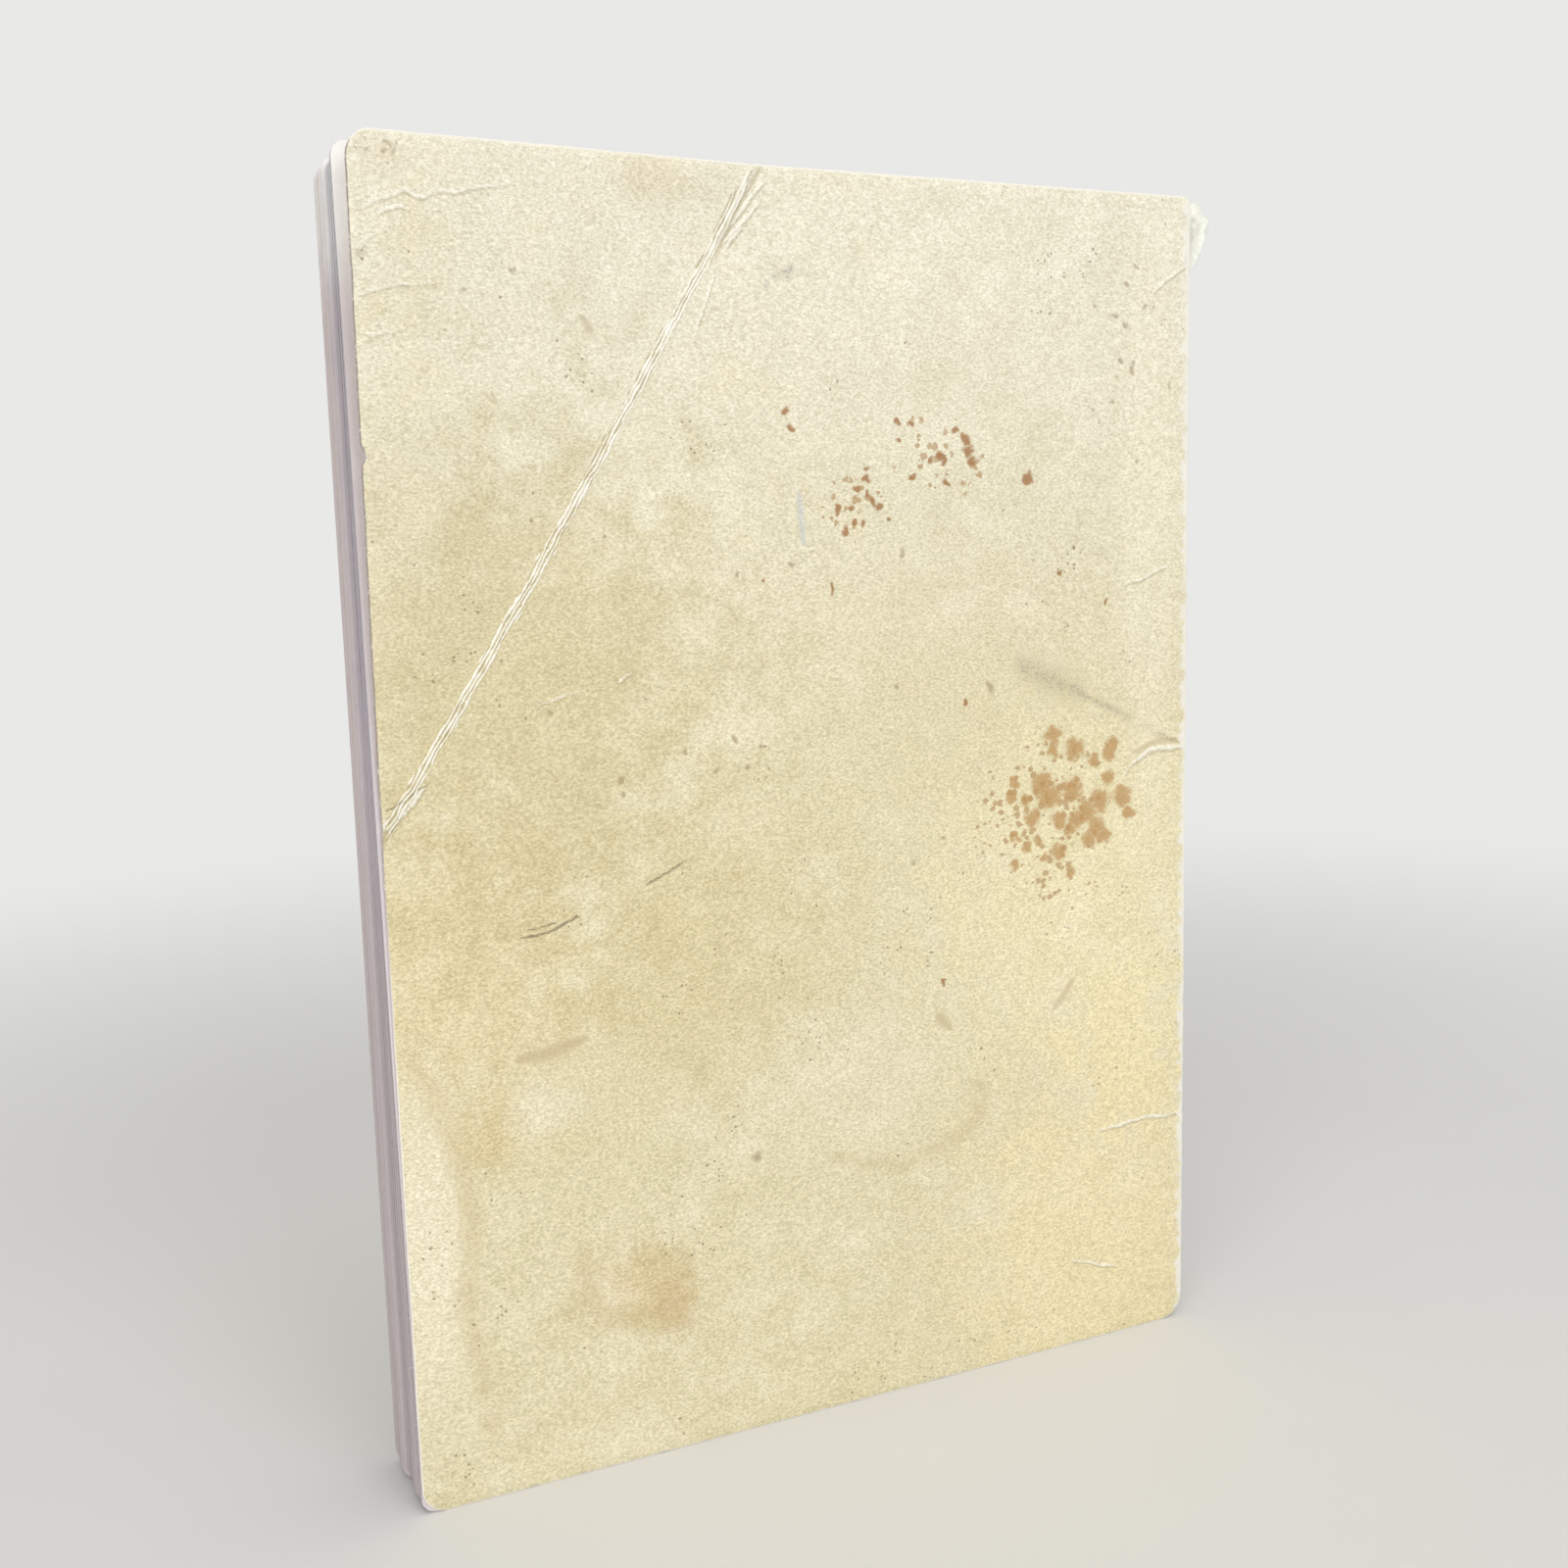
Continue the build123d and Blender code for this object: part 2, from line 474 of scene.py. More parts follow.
STROKES: dict[Trace, tuple[Stroke, ...]] = {
    Trace.LIGHT_CREASE: (
        Stroke(((-10.4, 209.4), (-12.1, 205.7), (-13.4, 202.1), (-15.8, 198.3)), 0.4),
        Stroke(((-8.0, 207.7), (-10.5, 205.0), (-12.2, 202.9), (-14.6, 199.8)), 0.3),
        Stroke(((-9.0, 204.4), (-11.0, 202.2), (-13.1, 200.0), (-15.4, 197.8)), 0.28),
        Stroke(((-12.1, 200.4), (-13.1, 199.4), (-15.0, 197.2)), 0.25),
        Stroke(((-66.6, 116.6), (-68.1, 114.9), (-71.2, 111.8), (-73.1, 110.2)), 0.36),
        Stroke(((-73.1, 198.9), (-65.3, 202.2), (-63.8, 201.4), (-62.9, 201.2), (-60.1, 202.5)), 0.2),
        Stroke(((-61.4, 201.9), (-60.1, 202.5), (-58.3, 202.5), (-55.3, 203.1), (-49.1, 204.2)), 0.18),
        Stroke(((-69.6, 198.6), (-68.6, 199.4), (-66.4, 200.0), (-64.7, 199.5)), 0.2),
        Stroke(((-73.4, 187.2), (-71.3, 188.0), (-66.4, 189.4), (-64.9, 189.2), (-61.2, 190.0)), 0.16),
        Stroke(((-73.1, 182.4), (-70.7, 182.3), (-66.2, 183.2)), 0.12),
        Stroke(((-73.0, 193.9), (-70.4, 195.7), (-68.4, 196.6)), 0.1),
        Stroke(((74.4, 111.7), (69.5, 112.1), (66.1, 111.6), (62.6, 109.9)), 0.4),
        Stroke(((66.1, 111.6), (62.6, 109.9), (60.5, 106.4)), 0.16),
        Stroke(((61.0, 142.2), (65.3, 143.4), (70.2, 145.5)), 0.24),
        Stroke(((55.2, 40.7), (65.2, 41.8), (74.2, 41.0)), 0.26),
        Stroke(((49.6, 16.7), (59.7, 13.2)), 0.22),
        Stroke(((-16.8, 193.3), (-18.6, 189.0), (-20.8, 182.7)), 0.2),
        Stroke(((-49.3, 127.4), (-42.1, 129.5)), 0.14),
        Stroke(((-36.0, 130.2), (-33.2, 132.0)), 0.16),
        Stroke(((74.2, 198.2), (71.7, 196.9), (68.9, 194.9), (66.6, 193.0)), 0.24),
        Stroke(((74.4, 203.0), (73.4, 200.4), (73.2, 197.4)), 0.24),
    ),
    Trace.SCRATCH: (
        Stroke(((-53.4, 91.4), (-48.7, 91.9), (-43.6, 94.0)), 0.24),
        Stroke(((-52.6, 92.4), (-47.0, 93.4)), 0.16),
        Stroke(((-32.1, 97.6), (-25.3, 100.8)), 0.24),
        Stroke(((-66.0, 117.0), (-69.5, 115.0), (-73.2, 113.1)), 0.15),
    ),
    Trace.SMEAR: (
        Stroke(((36.9, 129.6), (45.0, 126.0), (53.0, 122.5)), 3.6),
        Stroke(((44.0, 126.8), (53.4, 122.3), (60.4, 119.0), (64.8, 116.4), (73.4, 112.6)), 1.0),
        Stroke(((47.0, 125.6), (53.4, 122.4), (60.4, 119.0)), 0.55),
    ),
    Trace.SMUDGE: (
        Stroke(((-55.2, 72.0), (-48.8, 72.6), (-43.1, 73.9)), 0.9),
        Stroke(((45.4, 65.8), (49.7, 70.7)), 0.7),
        Stroke(((-39.5, 186.0), (-37.7, 183.5)), 0.6),
        Stroke(((21.0, 68.6), (23.6, 65.4)), 0.9),
        Stroke(((74.0, 113.0), (69.0, 113.5), (63.0, 111.6)), 0.6),
    ),
    Trace.TIDE: (
        Stroke(((-71.5, 77.0), (-67.5, 66.5), (-65.3, 58.2), (-63.5, 48.2), (-64.6, 33.8), (-62.0, 12.0)), 1.6),
        Stroke(((0.0, 46.1), (13.4, 41.8), (21.4, 44.0), (29.6, 48.0), (29.7, 57.2)), 1.2),
        Stroke(((-44.6, 40.4), (-45.6, 33.3), (-42.0, 26.0), (-31.0, 23.0), (-27.4, 28.0), (-28.6, 37.0)), 1.6),
    ),
    Trace.INK: (Stroke(((-3.4, 159.6), (-2.8, 150.9)), 0.55),),
    Trace.GRIME: (
        Stroke(((-7.2, 192.8), (-5.6, 193.5), (-4.0, 194.2)), 0.94),
        Stroke(((-4.4, 193.0), (-3.4, 195.3)), 0.8),
        Stroke(((-8.6, 191.5), (-7.6, 192.0)), 0.8),
    ),
}

SPOTS: dict[Trace, tuple[Spot, ...]] = {
    Trace.BLOB: spots(
        (45.3, 116.0, 1.6), (45.5, 113.2, 1.3), (50.1, 113.3, 2.0), (58.0, 113.4, 1.4), (57.6, 111.9, 1.4),
        (54.1, 111.1, 1.1), (57.2, 107.6, 1.4), (43.0, 107.4, 2.2), (44.4, 105.4, 2.4), (49.4, 106.1, 2.1),
        (60.1, 103.8, 2.0), (62.0, 100.6, 1.1), (55.6, 103.4, 2.1), (52.6, 101.6, 2.1), (50.2, 100.4, 1.6),
        (54.7, 98.6, 2.0), (53.2, 96.4, 1.6), (56.4, 97.0, 1.3), (46.6, 100.6, 1.6), (48.9, 98.6, 1.1),
        (46.6, 95.0, 1.6), (41.1, 101.6, 1.5), (42.2, 97.4, 0.9), (37.4, 108.4, 1.0), (36.7, 105.9, 1.0),
        (39.4, 104.9, 1.0), (37.3, 98.4, 0.9), (39.9, 96.4, 1.0), (37.2, 93.6, 1.0), (43.5, 94.3, 0.8),
        (49.0, 91.0, 1.0),
    ),
    Trace.DROP: spots(
        (-5.6, 172.1, 0.7), (-4.9, 169.7, 0.6), (17.4, 170.5, 0.8), (15.2, 170.6, 0.6), (15.0, 167.6, 0.5),
        (26.2, 169.3, 0.7), (27.8, 167.8, 0.85), (28.3, 165.9, 1.05), (29.4, 164.2, 0.85), (21.1, 164.3, 0.7),
        (22.9, 164.7, 0.6), (23.6, 164.0, 0.6), (17.7, 161.6, 0.7), (24.0, 160.9, 0.65), (40.3, 161.1, 1.0),
        (8.9, 162.9, 0.6), (9.0, 161.2, 0.55), (7.1, 160.0, 0.7), (9.2, 159.2, 0.55), (3.4, 156.4, 0.7),
        (6.1, 156.8, 0.6), (9.9, 157.8, 0.7), (11.2, 156.9, 0.6), (6.3, 154.5, 0.6), (8.3, 154.2, 0.6),
        (4.7, 152.9, 0.6), (13.4, 154.8, 0.5), (-10.5, 145.3, 0.45), (2.4, 144.1, 0.4), (47.1, 144.4, 0.5),
        (56.7, 139.2, 0.5), (27.4, 123.4, 0.35), (22.6, 74.0, 0.7),
    ),
    Trace.SOIL: spots(
        (-70.7, 208.6, 0.25), (-68.3, 207.2, 0.35), (-67.9, 208.5, 0.3), (-67.2, 207.8, 0.4), (-66.8, 208.4, 0.25),
        (-70.5, 207.3, 0.3), (-72.2, 207.1, 0.25), (-67.6, 205.4, 0.25), (-68.0, 203.4, 0.25), (-50.0, 191.9, 0.25),
        (-48.6, 191.4, 0.25), (-51.5, 192.7, 0.3), (-58.0, 188.6, 0.4), (-60.3, 183.3, 0.25), (-47.0, 126.0, 0.5),
        (-14.2, 48.8, 0.7), (13.7, 126.7, 0.5), (32.2, 125.9, 0.5), (-5.2, 148.0, 0.5), (15.3, 149.3, 0.5),
        (22.6, 99.7, 0.4), (16.7, 96.3, 0.4), (61.2, 194.6, 0.5), (62.3, 179.9, 0.42), (62.6, 180.7, 0.4),
        (65.0, 190.9, 0.4), (66.8, 191.2, 0.35), (54.5, 190.8, 0.45), (59.0, 189.3, 0.4), (60.8, 187.8, 0.35),
        (60.0, 181.3, 0.35), (63.5, 197.5, 0.3), (59.0, 178.3, 0.4), (70.6, 177.2, 0.4), (58.1, 174.3, 0.4),
        (63.2, 164.1, 0.45), (67.7, 161.5, 0.35), (-31.2, 127.6, 0.35), (-16.0, 119.9, 0.45), (-13.5, 115.3, 0.45),
        (-24.4, 118.5, 0.35), (-11.3, 118.2, 0.35), (-19.2, 114.8, 0.4), (-35.8, 114.8, 0.45), (-34.9, 112.5, 0.4),
        (-14.7, 146.6, 0.35),
    ),
    Trace.SPATTER: spots(
        (46.0, 104.0, 11.0), (38.0, 103.0, 8.0), (46.0, 91.0, 7.0), (7.0, 157.5, 5.0), (20.0, 166.0, 5.5),
        (30.0, 162.0, 3.0),
    ),
}


@dataclass(frozen=True)
class Wear:
    """What wear has left on the back cover: its crease, its lines and its stains."""

    crease: CreaseLine = CreaseLine()
    stroke_height: float = 0.08
    cell: float = 0.28
    fine_width: float = 0.95
    sway: float = 0.85
    shade_shift: Point = (-0.1, 0.42)
    crease_rows: int = 46
    crease_steps: int = 380

    def traces(self, x: float, z: float) -> dict[Trace, float]:
        """Strength of every trace at a place.

        Args:
            x: Place along the cover.
            z: Place up the cover.

        Returns:
            The traces that reach the place.
        """
        found: dict[Trace, float] = {}
        bent_x = x + self.sway * clouds(x, z, 2.0, 31.0) + self.sway / 2 * clouds(x, z, 0.9, 35.0)
        bent_z = z + self.sway * clouds(x, z, 2.0, 47.0) + self.sway / 2 * clouds(x, z, 0.9, 51.0)
        for trace, spots in SPOTS.items():
            found[trace] = max(spot.closeness(bent_x, bent_z) for spot in spots)
        bent_x, bent_z = self.wander(x, z)
        for trace, strokes in STROKES.items():
            found[trace] = max(stroke.closeness(bent_x, bent_z) for stroke in strokes)
        below = (bent_x + self.shade_shift[0], bent_z + self.shade_shift[1])
        found[Trace.SHADE] = max(line.closeness(*below) for line in STROKES[Trace.LIGHT_CREASE])
        relief = self.crease.relief(*self.crease.coordinates(x, z))
        found[Trace.STRAND] = max(0.0, relief)
        # Grooves and the crease's shaded side, which the card colours as painted shade.
        found[Trace.GROOVE_AND_SHADE] = max(0.0, -relief)
        return found

    @staticmethod
    def wander(x: float, z: float) -> Point:
        """Place moved a little, so that drawn lines run unevenly."""
        side = 0.35 * clouds(x, z, 3.0, 61.0) + 0.2 * clouds(x, z, 0.8, 63.0)
        rise = 0.35 * clouds(x, z, 3.0, 67.0) + 0.2 * clouds(x, z, 0.8, 69.0)
        return x + side, z + rise

    def lift(self, x: float, z: float) -> float:
        """Height of the creases at a place."""
        bent_x, bent_z = self.wander(x, z)
        light = max(stroke.closeness(bent_x, bent_z) for stroke in STROKES[Trace.LIGHT_CREASE])
        return self.crease.lift(x, z) + self.stroke_height * light * light

    def cells(self) -> set[tuple[int, int]]:
        """Cells of a close grid that the small traces reach."""
        found: set[tuple[int, int]] = set()
        for spot in (*SPOTS[Trace.BLOB], *SPOTS[Trace.DROP], *SPOTS[Trace.SOIL]):
            found |= self.round_cells(spot.x, spot.z, 1.5 * spot.radius + 0.6)
        for strokes in STROKES.values():
            for stroke in strokes:
                if stroke.half_width > self.fine_width:
                    continue
                for start, run in stroke.runs():
                    steps = math.ceil(run.length / self.cell)
                    for i in range(steps + 1):
                        spot = start + run * (i / steps)
                        found |= self.round_cells(spot.x, spot.y, 2 * stroke.half_width + 0.5)
        return found

    def round_cells(self, x: float, z: float, reach: float) -> set[tuple[int, int]]:
        """Cells of the close grid round a place."""
        span = math.ceil(reach / self.cell)
        column, row = round(x / self.cell), round(z / self.cell)
        return {
            (column + i, row + k)
            for i in range(-span, span + 1)
            for k in range(-span, span + 1)
            if math.hypot(i, k) * self.cell < reach
        }

    def fill(self) -> list[Point]:
        """Places in rows along the crease and in the close grid."""
        low, high = self.crease.band
        places = []
        for i in range(self.crease_steps):
            along = self.crease.length * (i + 0.5) / self.crease_steps
            for row in range(self.crease_rows):
                across = low + (high - low) * row / (self.crease_rows - 1)
                places.append(tuple(self.crease.place(along, across)))
        for column, row in self.cells():
            x, z = column * self.cell, row * self.cell
            if not self.on_crease(x, z, 0.2):
                places.append((x, z))
        return places

    def on_crease(self, x: float, z: float, margin: float) -> bool:
        """Whether a place lies in the crease's band, widened by a margin."""
        across = self.crease.coordinates(x, z)[1]
        return self.crease.band[0] - margin < across < self.crease.band[1] + margin


@dataclass(frozen=True)
class CardFinish:
    """Aged cover card: fibre grain, broad stains, specks and whitened rims."""

    name: str = "aged_card"
    head_tone: Tone = Tone(236, 230, 208)
    tail_tone: Tone = Tone(227, 217, 181)
    golden: Tone = Tone(216, 200, 151)
    pale: Tone = Tone(244, 237, 215)
    worn: Tone = Tone(250, 247, 238)
    speck: Tone = Tone(120, 92, 58)
    specks: tuple[Triple, ...] = ((0.6, 0.23, 0.5), (1.5, 0.4, 0.58))
    speck_chance: float = 1.07
    grain: Triple = (0.92, 0.98, 1.3)
    grain_depth: float = 0.06
    fold_x: float = 74.8
    height: float = 210.0
    patches: tuple[Patch, ...] = ()

    def ground(self, skin: Skin) -> tuple[Wire, Wire, Wire]:
        """Colour of the stained card before its marks.

        Args:
            skin: The material that is being made.

        Returns:
            The colour, the fine grain and the middling blots.
        """
        clouds_wide = skin.noise(skin.place, 0.022, 4.0, 0.6)
        blots = skin.noise(skin.place, 0.11, 5.0, 0.65)
        fibres = skin.noise(skin.vector("MULTIPLY", skin.place, (0.75, 1.0, 1.2)), 2.4, 4.0, 0.72)
        level = ease(skin.z + clouds_wide * 70 + blots * 30, 252.0, 160.0)
        colour = skin.mix(level, self.head_tone.rgba, self.tail_tone.rgba)
        colour = skin.mix(ease(clouds_wide * 0.7 + blots * 0.6, 0.66, 0.9) * 0.6, colour, self.golden.rgba)
        colour = skin.mix(ease(blots - clouds_wide * 0.5, 0.2, 0.5) * 0.32, colour, self.pale.rgba)
        for patch in self.patches:
            away = skin.vector("SUBTRACT", skin.place, (patch.x, 0.0, patch.z))
            spread = skin.vector("MULTIPLY", away, (1 / patch.reach_x, 0.0, 1 / patch.reach_z))
            far = skin.vector("LENGTH", spread, (0.0, 0.0, 0.0), "Value")
            share = ease(far + (blots - 0.5) * 2.2, 1.1, 0.25) * patch.strength
            colour = skin.mix(share, colour, patch.tone.rgba)
        grain = skin.scaled(self.grain, fibres * 1.5 + blots * 0.25 - 0.865)
        return skin.vector("MULTIPLY", colour, skin.vector("ADD", grain, (1.0, 1.0, 1.0))), fibres, blots

    def aged(self, skin: Skin, colour: Wire, fibres: Wire, blots: Wire) -> Wire:
        """Adds specks and whitened rims.

        Args:
            skin: The material that is being made.
            colour: Colour so far.
            fibres: Fine grain that roughens the rims.
            blots: Middling blots that gather the specks.

        Returns:
            The colour with them.
        """
        flocks = skin.noise(skin.place, 0.07, 3.0, 0.65)
        for scale, radius, strength in self.specks:
            away, chances = skin.cells(scale)
            gathered = chances[0] + ease(flocks, 0.52, 0.72) * 0.2 + blots * 0.1
            size = ease(gathered, self.speck_chance, self.speck_chance + 0.03) * radius
            speck = ease(away - size + (fibres - 0.5) * radius, 0.0, -radius / 4)
            colour = skin.mix(speck * strength, colour, self.speck.rgba)
        rough = (fibres - 0.5) * 1.5
        head_rim = ease(self.height - skin.z + rough, 0.6, 0.1)
        chafed = skin.noise(skin.place, 0.4, 4.0, 0.75)
        fold_rim = ease(self.fold_x - skin.x + rough * 3.0 + (chafed - 0.5) * 7, 1.7, 0.3)
        return skin.mix(skin.math("MAXIMUM", head_rim * 0.6, fold_rim * 0.9), colour, self.worn.rgba)

    def make(self) -> bpy.types.Material:
        """Builds the plain aged card."""
        skin = Skin(self.name)
        colour, fibres, blots = self.ground(skin)
        return skin.dress(self.aged(skin, colour, fibres, blots), 0.62, fibres, self.grain_depth, 0.28)


@dataclass(frozen=True)
class TraceLook:
    """How one kind of trace colours the card."""

    trace: Trace
    tone: Tone
    strength: float
    broken: float
    soft: float
    dotted: bool = False

    def mask(self, skin: Skin, fibres: Wire) -> Wire:
        """Share of the trace's tone, from 0 to 1.

        Args:
            skin: The material that is being made.
            fibres: Fine grain that breaks the trace up.

        Returns:
            The share.
        """
        trace = skin.trace(self.trace)
        if self.dotted:
            return ease(fibres + trace * 0.24, 0.68, 0.78) * ease(trace, 0.02, 0.3)
        return ease(trace * ((fibres - 0.5) * self.broken + 1.0), 0.5 - self.soft, 0.5 + self.soft)


@dataclass(frozen=True)
class BackCardFinish(CardFinish):
    """The back cover's card, with its crease, foxing, scratches and stains, painted shade along its creases and
    some painted light on its right side.
    """

    name: str = "back_card"
    crease_light: Tone = Tone(255, 253, 244)
    # Painted shade of the crease's grooves and of its shaded side.
    gap: Tone = Tone(186, 171, 136)
    drop: Tone = Tone(178, 138, 88)
    drop_scale: float = 0.85
    drop_size: float = 0.68
    looks: tuple[TraceLook, ...] = (
        TraceLook(Trace.TIDE, Tone(203, 178, 126), 0.32, 1.6, 0.45),
        TraceLook(Trace.INK, Tone(188, 200, 214), 0.45, 3.5, 0.4),
        TraceLook(Trace.GRIME, Tone(132, 126, 120), 0.62, 0.0, 0.0, dotted=True),
        TraceLook(Trace.SMUDGE, Tone(176, 146, 98), 0.4, 4.0, 0.45),
        TraceLook(Trace.SMEAR, Tone(122, 110, 90), 0.5, 0.0, 0.0, dotted=True),
        TraceLook(Trace.BLOB, Tone(192, 150, 95), 0.84, 2.6, 0.14),
        TraceLook(Trace.DROP, Tone(164, 115, 66), 0.88, 2.2, 0.16),
        TraceLook(Trace.SOIL, Tone(146, 118, 80), 0.62, 3.4, 0.35),
        TraceLook(Trace.SHADE, Tone(170, 152, 116), 0.42, 1.2, 0.3),
        TraceLook(Trace.LIGHT_CREASE, Tone(255, 252, 238), 0.75, 1.6, 0.3),
        TraceLook(Trace.SCRATCH, Tone(112, 96, 70), 0.7, 3.2, 0.25),
    )
    patches: tuple[Patch, ...] = (
        Patch(-62.0, 88.0, 26.0, 32.0, Tone(227, 207, 158), 0.5),
        Patch(-50.0, 128.0, 38.0, 52.0, Tone(214, 200, 156), 0.62),
        Patch(-20.0, 84.0, 30.0, 26.0, Tone(217, 200, 150), 0.42),
        Patch(-70.0, 45.0, 8.0, 32.0, Tone(244, 236, 208), 0.75),
        Patch(-37.0, 31.0, 12.0, 10.0, Tone(207, 178, 122), 0.4),
        Patch(-30.0, 26.0, 4.0, 7.0, Tone(196, 158, 102), 0.4),
        Patch(8.0, 58.0, 24.0, 16.0, Tone(234, 226, 196), 0.5),
        # Pale patch on the right: partly stain, partly painted light of the brighter right side.
        Patch(62.0, 58.0, 18.0, 22.0, Tone(246, 231, 178), 0.5),
        Patch(-27.0, 207.0, 9.0, 5.0, Tone(208, 184, 138), 0.25),
        Patch(-68.5, 206.5, 5.0, 4.0, Tone(206, 184, 144), 0.22),
        # These two pale patches on the right: partly stain, partly painted light of the brighter right side.
        Patch(52.0, 88.0, 42.0, 44.0, Tone(249, 236, 192), 0.5),
        Patch(54.0, 22.0, 36.0, 44.0, Tone(247, 231, 186), 0.6),
        Patch(-59.0, 61.0, 7.0, 9.0, Tone(214, 192, 136), 0.5),
        Patch(-51.0, 63.0, 8.0, 8.0, Tone(241, 233, 207), 0.5),
        # Pale strip along the right edge: partly stain, partly painted light of the brighter right side.
        Patch(66.0, 150.0, 9.0, 60.0, Tone(246, 238, 212), 0.5),
    )

    def make(self) -> bpy.types.Material:
        """Builds the back cover's card."""
        skin = Skin(self.name)
        colour, fibres, blots = self.ground(skin)
        away, chances = skin.cells(self.drop_scale)
        spatter = skin.trace(Trace.SPATTER)
        size = ease(chances[1] + spatter * 0.8, 0.9, 1.65) * self.drop_size
        drop = ease(away - size + (fibres - 0.5) * 1.1, 0.0, -0.2)
        colour = skin.mix(drop * ease(spatter, 0.05, 0.4) * 0.66, colour, self.drop.rgba)
        masks = {}
        for look in self.looks:
            masks[look.trace] = look.mask(skin, fibres)
            tone = skin.scaled(look.tone.rgba[:3], fibres * 0.7 + 0.65)
            colour = skin.mix(masks[look.trace] * look.strength, colour, tone)
        strand, gap = skin.trace(Trace.STRAND), skin.trace(Trace.GROOVE_AND_SHADE)
        # Painted shade in the crease's grooves and on its shaded side.
        colour = skin.mix(ease(gap, 0.1, 0.9) * 0.7, colour, self.gap.rgba)
        colour = skin.mix(ease(strand, 0.12, 0.5) * 0.92, colour, self.crease_light.rgba)
        colour = self.aged(skin, colour, fibres, blots)
        height = fibres * 0.6 + strand * 0.3 - gap * 0.4 + masks[Trace.LIGHT_CREASE] * 0.4
        return skin.dress(colour, strand * 0.2 + 0.6, height, 0.1, 0.28)


@dataclass(frozen=True)
class PaperFinish:
    """Plain uncoated paper: the inside of the covers and raw torn card."""

    name: str
    tone: Tone
    margin: Tone
    fibre: float
    depth: float
    contrast: float = 0.16
    fore_x: float = -74.0
    head_z: float = 209.5

    def make(self) -> bpy.types.Material:
        """Builds paper that is browner towards the free edges."""
        skin = Skin(self.name)
        stains = skin.noise(skin.place, 0.05, 4.0, 0.6)
        threads = skin.threads(self.fibre)
        near = lowest([skin.x - self.fore_x, self.head_z - skin.z, skin.z])
        share = ease(near - stains * 16, 4.0, -9.0) * 0.75 + ease(stains, 0.5, 0.75) * 0.25
        colour = skin.mix(share, self.tone.rgba, self.margin.rgba)
        # Streaks along the fibre; at the torn card's high contrast they are partly painted shade of the flap's
        # flutes.
        colour = skin.scaled(colour, (threads - 0.5) * self.contrast + 1.0)
        return skin.dress(colour, 0.85, threads, self.depth, 0.2)


@dataclass(frozen=True)
class LeafFinish:
    """Blank face of a leaf: ivory, lilac along the fore-edge partly as painted shade of the back cover, white at
    its head.
    """

    name: str = "page"
    tone: Tone = Tone(235, 229, 216)
    # Lilac strip: partly painted shade cast by the lifted back cover on the leaf.
    margin: Tone = Tone(228, 219, 222)
    unshaded_white: Tone = Tone(254, 253, 252)
    fore_x: float = -73.0
    unshaded_from: float = 184.0
    unshaded_to: float = 200.0
    fibre: float = 1.2

    def make(self) -> bpy.types.Material:
        """Builds the leaf's face."""
        skin = Skin(self.name)
        stains = skin.noise(skin.place, 0.05, 4.0, 0.6)
        threads = skin.threads(self.fibre)
        strip = ease(skin.x - stains * 2, self.fore_x + 2, self.fore_x)
        # The painted shade gives way to white towards the head.
        head = ease(skin.z + (stains - 0.5) * 8, self.unshaded_from, self.unshaded_to)
        rim = skin.mix(head, self.margin.rgba, self.unshaded_white.rgba)
        colour = skin.mix(strip, self.tone.rgba, rim)
        return skin.dress(skin.scaled(colour, (threads - 0.5) * 0.16 + 1.0), 0.85, threads, 0.03, 0.2)


@dataclass(frozen=True)
class RimFinish:
    """Cut edge of the card: pale fibre, darker along the upper fore-edge from soil and painted shade."""

    name: str = "card_rim"
    pale: Tone = Tone(248, 243, 232)
    # Soil together with painted shade of the cut fore-edge, which is turned from the light.
    soil_and_shade: Tone = Tone(160, 148, 140)
    fore_x: float = -72.4
    soil_and_shade_from: float = 80.0
    soil_and_shade_to: float = 140.0

    def make(self) -> bpy.types.Material:
        """Builds the cut edge."""
        skin = Skin(self.name)
        threads = skin.noise(skin.place, 1.6, 4.0, 0.7)
        # Soil and painted shade along the upper fore-edge.
        soil = ease(skin.x + (threads - 0.5) * 2, self.fore_x, self.fore_x - 1) * ease(threads, 0.25, 0.5)
        soil = soil * ease(skin.z + threads * 30, self.soil_and_shade_from, self.soil_and_shade_to)
        colour = skin.mix(soil, self.pale.rgba, self.soil_and_shade.rgba)
        return skin.dress(skin.scaled(colour, (threads - 0.5) * 0.4 + 1.0), 0.85, threads, 0.15, 0.2)


